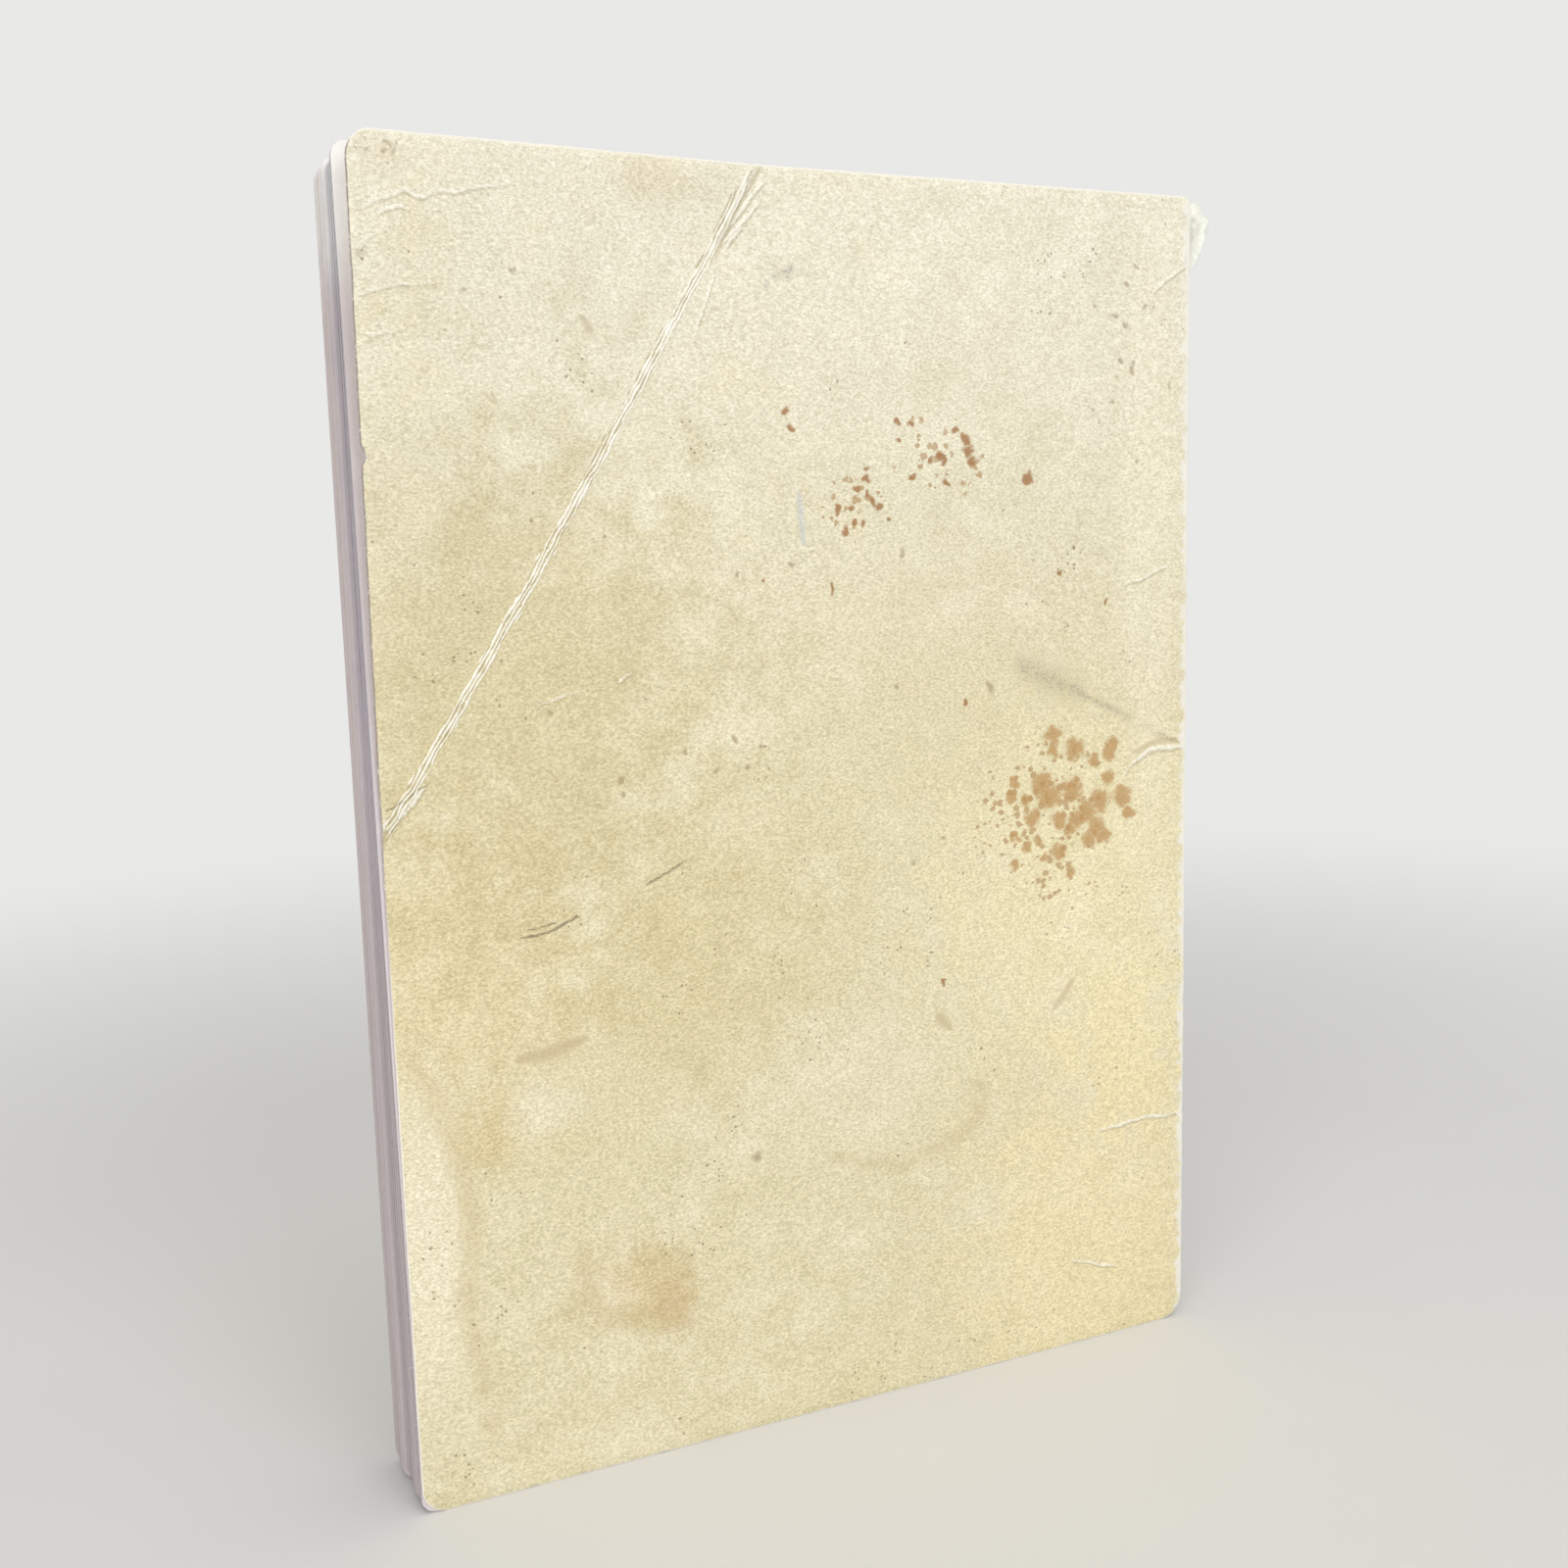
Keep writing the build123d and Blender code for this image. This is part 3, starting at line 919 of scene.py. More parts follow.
@dataclass(frozen=True)
class PageEdgeFinish:
    """Cut edges of the leaves, each leaf in its own tone, over a lilac grey that is painted shade, deepest at the
    head.
    """

    name: str = "page_edge"
    # Lilac grey: painted shade of the fore-edge, which is turned from the light; darker still towards the head.
    shaded_edge: Tone = Tone(132, 129, 140)
    shaded_edge_head: Tone = Tone(100, 99, 111)
    warm: Tone = Tone(194, 182, 171)
    dark: Tone = Tone(108, 101, 104)
    tail: Tone = Tone(148, 134, 128)
    leaves: int = 128

    def make(self) -> bpy.types.Material:
        """Builds the edges from the leaf number that the stack keeps."""
        skin = Skin(self.name)
        leaf = skin.add("ShaderNodeAttribute", {"attribute_name": "leaf"}, None, "Fac")
        chance = skin.add("ShaderNodeTexWhiteNoise", {"noise_dimensions": "1D"}, {"W": leaf * self.leaves})
        soil = skin.noise(skin.place, 0.12, 4.0, 0.65)
        threads = skin.noise(skin.place, 1.6, 3.0, 0.6)
        # Painted shade: the edges greyed, darker towards the head.
        shaded_edge = skin.mix(ease(skin.z, 110.0, 205.0), self.shaded_edge.rgba, self.shaded_edge_head.rgba)
        colour = skin.mix(ease(leaf + soil * 0.2, 0.62, 0.78), shaded_edge, self.warm.rgba)
        colour = skin.mix(ease(skin.z, 130.0, 60.0) * 0.7, colour, self.tail.rgba)
        colour = skin.mix(ease(chance, 0.55, 1.0) * 0.35 + ease(soil, 0.5, 0.8) * 0.4, colour, self.dark.rgba)
        return skin.dress(skin.scaled(colour, threads * 0.5 + 0.75), 0.85, threads, 0.05, 0.15)


@dataclass(frozen=True)
class GlueFinish:
    """Old binding glue with paper fluff in it."""

    name: str = "binding_glue"
    amber: Tone = Tone(196, 160, 104)
    pale: Tone = Tone(226, 214, 188)

    def make(self) -> bpy.types.Material:
        """Builds the glue."""
        skin = Skin(self.name)
        fluff = skin.noise(skin.place, 0.6, 4.0, 0.65)
        paper = ease(fluff, 0.42, 0.62)
        colour = skin.mix(paper, self.amber.rgba, self.pale.rgba)
        return skin.dress(colour, paper * 0.4 + 0.45, fluff, 0.12, 0.35)


# Sheets of card


def rounded_outline(corners: Sequence[Triple], step: float) -> list[Point]:
    """Closed anticlockwise outline with square corners rounded off.

    Args:
        corners: Place and radius of each corner.
        step: Greatest length of a division.

    Returns:
        The outline's points.
    """
    points: list[Point] = []
    for i, (x, z, radius) in enumerate(corners):
        corner = Vector((x, z))
        back = (Vector(corners[i - 1][:2]) - corner).normalized()
        on = (Vector(corners[(i + 1) % len(corners)][:2]) - corner).normalized()
        centre = corner + (back + on) * radius
        steps = max(1, math.ceil(radius * math.pi / 2 / min(step, 0.6)))
        for k in range(steps + 1 if radius else 1):
            turn = math.pi / 2 * k / steps
            points.append(tuple(centre - on * radius * math.cos(turn) - back * radius * math.sin(turn)))
        following = corners[(i + 1) % len(corners)]
        start = Vector(points[-1])
        end = Vector(following[:2]) - on * following[2]
        runs = max(1, math.ceil((end - start).length / step))
        points.extend(tuple(start.lerp(end, k / runs)) for k in range(1, runs))
    return points


def outward_ways(outline: Sequence[Point]) -> list[Vector]:
    """Direction out of an anticlockwise outline at each of its points."""
    ways = []
    for i, place in enumerate(outline):
        before, after = Vector(outline[i - 1]), Vector(outline[(i + 1) % len(outline)])
        run = after - before if (after - before).length else after - Vector(place)
        ways.append(Vector((run.y, -run.x)).normalized())
    return ways


def deep_inside(place: Sequence[float], outline: Sequence[Point], margin: float) -> bool:
    """Whether a place lies in an outline, away from the outline's points by a margin."""
    inside = False
    for start, end in zip(outline, (*outline[1:], outline[0])):
        if math.dist(place, start) < margin:
            return False
        if (start[1] > place[1]) != (end[1] > place[1]):
            share = (place[1] - start[1]) / (end[1] - start[1])
            inside ^= place[0] < start[0] + (end[0] - start[0]) * share
    return inside


def finished(build: bmesh.types.BMesh, name: str) -> bpy.types.Mesh:
    """Plain mesh of what was built."""
    mesh = bpy.data.meshes.new(name)
    build.to_mesh(mesh)
    build.free()
    return mesh


def linked(name: str, data: bpy.types.ID) -> bpy.types.Object:
    """A new object at the origin, in the scene."""
    piece = bpy.data.objects.new(name, data)
    bpy.context.scene.collection.objects.link(piece)
    return piece


@dataclass
class CardSheet(ABC):
    """A sheet of card with round worn edges, meshed from its outline."""

    name: str
    body: str
    node: str
    slot: str
    thickness: float = 0.4
    edge_steps: int = 4
    finishes: dict[Face, bpy.types.Material] = field(default_factory=dict)

    @abstractmethod
    def outline(self) -> list[Point]:
        """Flat outline of the sheet, anticlockwise."""

    @abstractmethod
    def fill(self, kind: Face) -> list[Point]:
        """Flat places inside the outline that carry a face's relief."""

    @abstractmethod
    def place(self, across: float, up: float, out: float) -> Vector:
        """Place in the book of a flat place, and of a distance out of the sheet's middle."""

    def traces(self, across: float, up: float) -> dict[Trace, float]:
        """Worn traces on the outer face. A plain sheet has none."""
        return {}

    def face(self, build: bmesh.types.BMesh, inner: list[Vector], kind: Face) -> list[bmesh.types.BMVert]:
        """Meshes one face of the sheet inside its rim.

        Args:
            build: The mesh that is being made.
            inner: The rim, set in by the round of the edge.
            kind: Which face it is.

        Returns:
            The vertices on the rim, in its order.
        """
        out = self.thickness / 2 if kind is Face.OUTER else -self.thickness / 2
        count = len(inner)
        loop = [(i, (i + 1) % count) for i in range(count)]
        flat = inner + [Vector(p) for p in self.fill(kind)]
        places, _, faces, origin, _, _ = geometry.delaunay_2d_cdt(flat, loop, [], 1, 1e-5)
        used = {i for ids in faces for i in ids}
        made = {i: build.verts.new(self.place(*places[i], out) * MM) for i in used}
        for ids in faces:
            build.faces.new([made[i] for i in ids]).material_index = kind.value
        if kind is Face.OUTER:
            for i, vert in made.items():
                for trace, strength in self.traces(*places[i]).items():
                    vert[build.verts.layers.float[trace.value]] = strength
        at = {given: found for found, ids in enumerate(origin) for given in ids}
        return [made[at[i]] for i in range(count)]

    def mesh(self) -> bpy.types.Mesh:
        """Meshes both faces of the sheet and the round edge between them.

        Returns:
            A closed mesh with one material place for each kind of face.
        """
        radius = self.thickness / 2
        rim = self.outline()
        ways = outward_ways(rim)
        inner = [Vector(p) - way * radius for p, way in zip(rim, ways)]
        build = bmesh.new()
        for trace in self.traces(0.0, 0.0):
            build.verts.layers.float.new(trace.value)
        rings = [self.face(build, inner, Face.OUTER)]
        for k in range(1, self.edge_steps):
            turn = math.pi * k / self.edge_steps
            reach, out = radius * math.sin(turn), radius * math.cos(turn)
            ring = [p + way * reach for p, way in zip(inner, ways)]
            rings.append([build.verts.new(self.place(*p, out) * MM) for p in ring])
        rings.append(self.face(build, inner, Face.INNER))
        for upper, lower in zip(rings, rings[1:]):
            for i in range(len(inner)):
                j = (i + 1) % len(inner)
                face = build.faces.new((upper[i], upper[j], lower[j], lower[i]))
                face.material_index = Face.EDGE.value
        bmesh.ops.recalc_face_normals(build, faces=build.faces)
        made = finished(build, self.name)
        made.polygons.foreach_set("use_smooth", [True] * len(made.polygons))
        return made

    def build(self) -> bpy.types.Object:
        """Makes the piece, dresses it and hangs it on its body."""
        piece = linked(self.name, self.mesh())
        for kind in Face:
            piece.data.materials.append(self.finishes[kind])
        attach(piece, self.body)
        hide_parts(self.node)
        return piece


@dataclass
class CoverSheet(CardSheet):
    """One cover up to its fold: a slightly wavy sheet, on the back bent along the crease."""

    side: Side = Side.FRONT
    fore_x: float = -73.7
    fold_x: float = 74.6
    height: float = 210.0
    middle_y: float = 9.14
    fore_corner: float = 4.0
    head_corner: float = 1.5
    tail_corner: float = 4.8
    grid: float = 2.4
    row_share: float = 0.866
    scatter: float = 0.4
    wave: float = 0.16
    wear: float = 0.16
    seed: int = 3
    nick: Spot | None = None
    nick_depth: float = 1.0
    worn: Wear | None = None

    def corners(self, fold_x: float) -> tuple[Triple, ...]:
        """Place and radius of each corner, anticlockwise, for a fold edge at a place."""
        return (
            (self.fore_x, 0.0, self.fore_corner),
            (fold_x, 0.0, self.tail_corner),
            (fold_x, self.height, self.head_corner),
            (self.fore_x, self.height, self.fore_corner),
        )

    def outline(self) -> list[Point]:
        """Rounded outline, nibbled by wear, with its round fold edge left straight."""
        edge_x = self.fold_x + self.thickness / 2
        whole = rounded_outline(self.corners(edge_x), 1.0)
        worn = []
        for (x, z), way in zip(whole, outward_ways(whole)):
            bite = max(0.0, clouds(x, z, 6.0, self.seed)) + 0.6 * max(0.0, clouds(x, z, 1.7, self.seed + 5))
            inset = self.wear * bite * ease(self.fold_x - x, 0.5, 6.0)
            if x > self.fold_x:
                inset -= 0.2 * max(0.0, clouds(x, z, 2.6, self.seed + 8)) + 0.1 * clouds(x, z, 0.9, self.seed + 9)
            if self.nick and x < self.fore_x + 1:
                inset += self.nick_depth * max(0.0, 1 - abs(z - self.nick.z) / self.nick.radius)
            worn.append((x - way.x * inset, z - way.y * inset))
        return worn

    def holds(self, x: float, z: float, margin: float) -> bool:
        """Whether a place lies inside the outline by a margin."""
        low_x, high_x = self.fore_x + margin, self.fold_x - margin
        if not (low_x < x < high_x and margin < z < self.height - margin):
            return False
        for corner_x, corner_z, radius in self.corners(self.fold_x):
            centre_x = corner_x + math.copysign(radius, -corner_x)
            centre_z = corner_z + math.copysign(radius, self.height / 2 - corner_z)
            beyond = (x - centre_x) * corner_x > 0 and (z - centre_z) * (corner_z - self.height / 2) > 0
            if beyond and math.hypot(x - centre_x, z - centre_z) > radius - margin:
                return False
        return True

    def fill(self, kind: Face) -> list[Point]:
        """Close places where wear has left traces, and a loose grid elsewhere."""
        chance = random.Random(self.seed)
        places: list[Point] = []
        cells: set[tuple[int, int]] = set()
        if self.worn and kind is Face.OUTER:
            places = [p for p in self.worn.fill() if self.holds(*p, 0.9)]
            cells = self.worn.cells()
        pitch = self.grid * self.row_share
        rows = int(self.height / pitch)
        columns = int((self.fold_x - self.fore_x) / self.grid)
        for row in range(rows + 1):
            for column in range(columns + 1):
                stray_x, stray_z = (chance.uniform(-self.scatter, self.scatter) for _ in range(2))
                x = self.fore_x + self.grid * (column + row % 2 / 2) + stray_x
                z = pitch * row + stray_z
                if not self.holds(x, z, 1.6):
                    continue
                if cells and (self.worn.on_crease(x, z, 1.0) or self.worn.round_cells(x, z, 0.8) & cells):
                    continue
                places.append((x, z))
        return places

    def traces(self, across: float, up: float) -> dict[Trace, float]:
        """Traces that wear has left here."""
        return self.worn.traces(across, up) if self.worn else {}

    def lift(self, x: float, z: float) -> float:
        """Distance of the card out from its flat place."""
        away = ease(self.fold_x - x, 2.0, 30.0)
        height = self.wave * away * (1 + clouds(x, z, 45.0, self.seed + 2)) / 2
        height += 0.025 * away * (1 + clouds(x, z, 7.0, self.seed + 3))
        return height + self.worn.lift(x, z) if self.worn else height

    def place(self, across: float, up: float, out: float) -> Vector:
        """Place of a flat place on this side of the book."""
        return Vector((across, self.side.value * (self.middle_y + self.lift(across, up) + out), up))


@dataclass
class SpineSheet(CardSheet):
    """The spine: a strip over the leaves' folds, bumped in at the tail and torn open at the head."""

    middle_x: float = 74.6
    half_width: float = 8.84
    height: float = 210.0
    bend_x: float = 69.8
    bend_z: float = 5.0
    tear_down: float = 15.0
    tear_along: float = 9.0
    torn: tuple[Point, ...] = (
        (-4.4, 210.0), (-5.6, 210.9), (-5.8, 211.9), (-6.6, 212.3), (-7.5, 211.6), (-8.4, 209.9),
        (-9.8, 209.1), (-9.8, 205.9), (-9.8, 202.6), (-9.5, 199.1), (-9.0, 198.1), (-8.84, 197.2),
    )
    flare: float = math.radians(65)
    roll: float = 0.8
    grid: float = 1.5
    flap_grid: Point = (0.55, 0.38)
    flap_cells: tuple[int, int] = (36, 25)
    seed: int = 11

    @property
    def bend_radius(self) -> float:
        """Radius of the bumped tail at the sheet's middle."""
        return self.middle_x - self.bend_x

    @property
    def foot(self) -> Vector:
        """Lower end of the fold of the torn flap."""
        return Vector((-self.half_width, self.height - self.tear_down))

    @property
    def along(self) -> Vector:
        """Direction of the flap's fold, upwards."""
        return Vector((self.tear_along, self.tear_down)).normalized()

    @property
    def over(self) -> Vector:
        """Direction across the flap's fold, out over the flap."""
        return Vector((-self.along.y, self.along.x))

    @property
    def tail(self) -> float:
        """Lower end of the strip, laid flat."""
        return self.bend_z - self.bend_radius * math.pi / 2

    def outline(self) -> list[Point]:
        """Long strip with a ragged torn corner."""
        half, tail = self.half_width, self.tail
        torn = ((y, z, 0.0) for y, z in self.torn)
        corners = ((-half, tail, 0.0), (half, tail, 0.0), (half, self.height, 0.6), *torn)
        ragged = []
        for y, z in rounded_outline(corners, 0.35):
            if y < self.torn[0][0] + 0.5 and z > self.torn[-1][1] - 0.4:
                pull = 0.3 * abs(clouds(y, z, 0.7, self.seed)) + 0.24 * clouds(y, z, 0.3, self.seed + 1)
                y, z = y + pull * 0.6, z - pull * 0.8
            ragged.append((y, z))
        return ragged

    def fill(self, kind: Face) -> list[Point]:
        """Even grid over the strip, closer on the flap."""
        tail, over = self.tail, self.over
        places = []
        rows = int((self.height - tail) / self.grid)
        columns = int(self.half_width * 2 / self.grid)
        for row in range(1, rows):
            for column in range(1, columns):
                y = -self.half_width + 2 * self.half_width * column / columns
                z = tail + (self.height - tail) * row / rows
                if (Vector((y, z)) - self.foot).dot(over) < -1.4:
                    places.append((y, z))
        rim = [p for p in self.outline() if p[1] > self.foot.y - 5]
        for i in range(self.flap_cells[0]):
            for k in range(self.flap_cells[1]):
                spot = self.foot + self.along * (self.flap_grid[0] * i) + over * (self.flap_grid[1] * k - 1.0)
                if deep_inside(spot, rim, 0.5):
                    places.append(tuple(spot))
        return places

    def place(self, across: float, up: float, out: float) -> Vector:
        """Place on the strip, round the tail, or on the flared flap."""
        ripple = 0.1 * (1 + clouds(across * 2.5, up * 0.12, 3.0, self.seed + 4)) / 2
        out += ripple * ease(self.half_width - abs(across), 0.2, 2.0)
        if up < self.bend_z:
            turn = (self.bend_z - up) / self.bend_radius
            radius = self.bend_radius + out
            return Vector((self.bend_x + radius * math.cos(turn), across, self.bend_z - radius * math.sin(turn)))
        over = self.over
        rest = Vector((across, up)) - self.foot
        beyond = rest.dot(over)
        if beyond <= 0:
            return Vector((self.middle_x + out, across, up))
        out += 0.2 * clouds(beyond, rest.dot(self.along) * 0.15, 0.8, self.seed + 6) * ease(beyond, 0.0, 2.0)
        curl = self.flare / self.roll
        turn = min(self.flare, beyond * curl)
        straight = max(0.0, beyond - self.roll)
        reach = math.sin(turn) / curl + straight * math.cos(turn) - out * math.sin(turn)
        rise = (1 - math.cos(turn)) / curl + straight * math.sin(turn) + out * math.cos(turn)
        flat = self.foot + self.along * rest.dot(self.along) + over * reach
        return Vector((self.middle_x + rise, flat.x, flat.y))


# Pieces that geometry nodes make


@dataclass
class NodePiece(ABC):
    """A piece whose mesh comes from a geometry node tree with named inputs."""

    name: str
    body: str
    slot: str

    @abstractmethod
    def seed_mesh(self) -> bpy.types.Mesh:
        """Mesh that the tree starts from."""

    @abstractmethod
    def inputs(self) -> dict[str, tuple[str, Any]]:
        """Socket type and value of each named input."""

    @abstractmethod
    def grow(self, sheet: NodeSheet, given: dict[str, Wire]) -> Wire:
        """Fills the tree and gives its geometry."""

    def build(self) -> bpy.types.Object:
        """Runs the tree, keeps its result as a plain mesh and hangs it on its body."""
        tree = bpy.data.node_groups.new(self.name, "GeometryNodeTree")
        tree.interface.new_socket("Geometry", in_out="INPUT", socket_type="NodeSocketGeometry")
        tree.interface.new_socket("Geometry", in_out="OUTPUT", socket_type="NodeSocketGeometry")
        sockets = {
            label: tree.interface.new_socket(label, in_out="INPUT", socket_type=kind)
            for label, (kind, _) in self.inputs().items()
        }
        sheet = NodeSheet(tree)
        entry = tree.nodes.new("NodeGroupInput")
        given = {socket.name: Wire(sheet, socket) for socket in entry.outputs if socket.name}
        sheet.put("NodeGroupOutput", None, {"Geometry": self.grow(sheet, given)})
        piece = linked(self.name, self.seed_mesh())
        modifier = piece.modifiers.new(self.name, "NODES")
        modifier.node_group = tree
        for label, (_, value) in self.inputs().items():
            modifier[sockets[label].identifier] = value
        shown = piece.evaluated_get(bpy.context.evaluated_depsgraph_get())
        made = bpy.data.meshes.new_from_object(shown)
        piece.modifiers.clear()
        piece.data = made
        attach(piece, self.body)
        return piece


@dataclass
class LeafStack(NodePiece):
    """The leaves: one outline repeated through the block, each leaf a little out of line."""

    page: bpy.types.Material | None = None
    edge: bpy.types.Material | None = None
    width: float = 148.0
    height: float = 209.4
    block_face: float = 8.84
    leaves: int = 128
    paper: float = 0.118
    corner: float = 2.4
    division: float = 7.0
    tail_bend: Spot = Spot(69.8, 5.0, 4.2)
    wave: float = 0.3
    wave_turns: float = 2.5
    jitter: float = 0.16
    near_skew: float = -1.05
    far_step: float = -0.45
    seed: int = 7

    def leaf_outline(self) -> list[Point]:
        """Outline of a leaf, cut away under the bumped tail of the spine."""
        half, bend = self.width / 2, self.tail_bend
        corners = (
            (-half, 0.0, self.corner),
            (half, 0.0, 0.0),
            (half, self.height, 0.0),
            (-half, self.height, self.corner),
        )
        low = [p for p in rounded_outline(corners, self.division) if p != (half, 0.0)]
        start = next(i for i, p in enumerate(low) if p[0] >= half - 1e-6)
        foot = [p for p in low[:start] if p[0] < bend.x]
        side = [p for p in low[start:] if p[0] < half - 1e-6 or p[1] > bend.z]
        turns = [math.radians(15 * k - 90) for k in range(7)]
        arc = [(bend.x + bend.radius * math.cos(turn), bend.z + bend.radius * math.sin(turn)) for turn in turns]
        return foot + [(bend.x, 0.0)] + arc + side

    def seed_mesh(self) -> bpy.types.Mesh:
        """One leaf, from Y 0 to its thickness."""
        build = bmesh.new()
        outline = self.leaf_outline()
        near = [build.verts.new(Vector((x, 0.0, z)) * MM) for x, z in outline]
        far = [build.verts.new(Vector((x, self.paper, z)) * MM) for x, z in outline]
        build.faces.new(near)
        build.faces.new(list(reversed(far)))
        for i in range(len(outline)):
            j = (i + 1) % len(outline)
            build.faces.new((near[j], near[i], far[i], far[j]))
        bmesh.ops.recalc_face_normals(build, faces=build.faces)
        return finished(build, self.name)

    def inputs(self) -> dict[str, tuple[str, Any]]:
        """Sizes of the stack, in metres, and its materials."""
        pitch = (2 * self.block_face - self.paper) / (self.leaves - 1)
        return {
            "Leaves": ("NodeSocketInt", self.leaves),
            "First Leaf": ("NodeSocketVector", (0.0, -self.block_face * MM, 0.0)),
            "Leaf Pitch": ("NodeSocketVector", (0.0, pitch * MM, 0.0)),
            "Spine Side": ("NodeSocketFloat", self.width / 2 * MM),
            "Leaf Width": ("NodeSocketFloat", self.width * MM),
            "Leaf Height": ("NodeSocketFloat", self.height * MM),
            "Wave": ("NodeSocketFloat", self.wave * MM),
            "Wave Turns": ("NodeSocketFloat", self.wave_turns),
            "Jitter": ("NodeSocketFloat", self.jitter * MM),
            "Near Skew": ("NodeSocketFloat", self.near_skew * MM),
            "Far Step": ("NodeSocketFloat", self.far_step * MM),
            "Seed": ("NodeSocketInt", self.seed),
            "Page": ("NodeSocketMaterial", self.page),
            "Edge": ("NodeSocketMaterial", self.edge),
        }

    def grow(self, sheet: NodeSheet, given: dict[str, Wire]) -> Wire:
        """Stacks the leaf along Y and moves each leaf's free edges.

        Args:
            sheet: The tree.
            given: Its inputs by name.

        Returns:
            The geometry.
        """
        line = sheet.add(
            "GeometryNodeMeshLine",
            {"mode": "OFFSET"},
            {"Count": given["Leaves"], "Start Location": given["First Leaf"], "Offset": given["Leaf Pitch"]},
        )
        stack = sheet.add("GeometryNodeInstanceOnPoints", None, {"Points": line, "Instance": given["Geometry"]})
        order = sheet.add("GeometryNodeInputIndex")
        numbered = sheet.add(
            "GeometryNodeStoreNamedAttribute",
            {"data_type": "FLOAT", "domain": "INSTANCE"},
            {"Geometry": stack, "Name": "leaf", "Value": order / (given["Leaves"] - 1)},
        )
        leaves = sheet.add("GeometryNodeRealizeInstances", None, {"Geometry": numbered})
        leaf = sheet.add("GeometryNodeInputNamedAttribute", {"data_type": "FLOAT"}, {"Name": "leaf"})
        position = sheet.add("GeometryNodeInputPosition")
        x, _, z = sheet.split(position)
        reach = (given["Spine Side"] - x) / given["Leaf Width"]
        rise = z / given["Leaf Height"]
        chance = sheet.add(
            "FunctionNodeRandomValue",
            {"data_type": "FLOAT"},
            {"ID": leaf * (given["Leaves"] - 1), "Seed": given["Seed"]},
            1,
        )
        spread = sheet.add("ShaderNodeCombineXYZ", None, {"X": x * 20.0, "Y": leaf * 400.0, "Z": z * 20.0})
        ragged = sheet.noise(spread, 1.0, 2.0, 0.5)
        swing = sheet.math("SINE", leaf * given["Wave Turns"] * math.tau)
        wave = (swing + 1.0) * 0.5 * given["Wave"]
        skew = ease(leaf, 0.3, 0.0) * given["Near Skew"] * rise
        step = ease(leaf, 0.6, 0.63) * given["Far Step"]
        moved = wave + (chance + ragged * 0.8) * given["Jitter"] + skew + step
        drop = (chance * 0.7 + ragged * 0.6) * given["Jitter"] * rise
        offset = sheet.add("ShaderNodeCombineXYZ", None, {"X": moved * reach, "Z": -drop})
        placed = sheet.add("GeometryNodeSetPosition", None, {"Geometry": leaves, "Offset": offset})
        edged = sheet.add("GeometryNodeSetMaterial", None, {"Geometry": placed, "Material": given["Edge"]})
        facing = abs(sheet.split(sheet.add("GeometryNodeInputNormal"))[1])
        broad = sheet.math("GREATER_THAN", facing, 0.7)
        return sheet.add(
            "GeometryNodeSetMaterial", None, {"Geometry": edged, "Selection": broad, "Material": given["Page"]}
        )

    def build(self) -> bpy.types.Object:
        """Builds the stack in place of the plain block."""
        piece = super().build()
        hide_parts("page_block")
        return piece


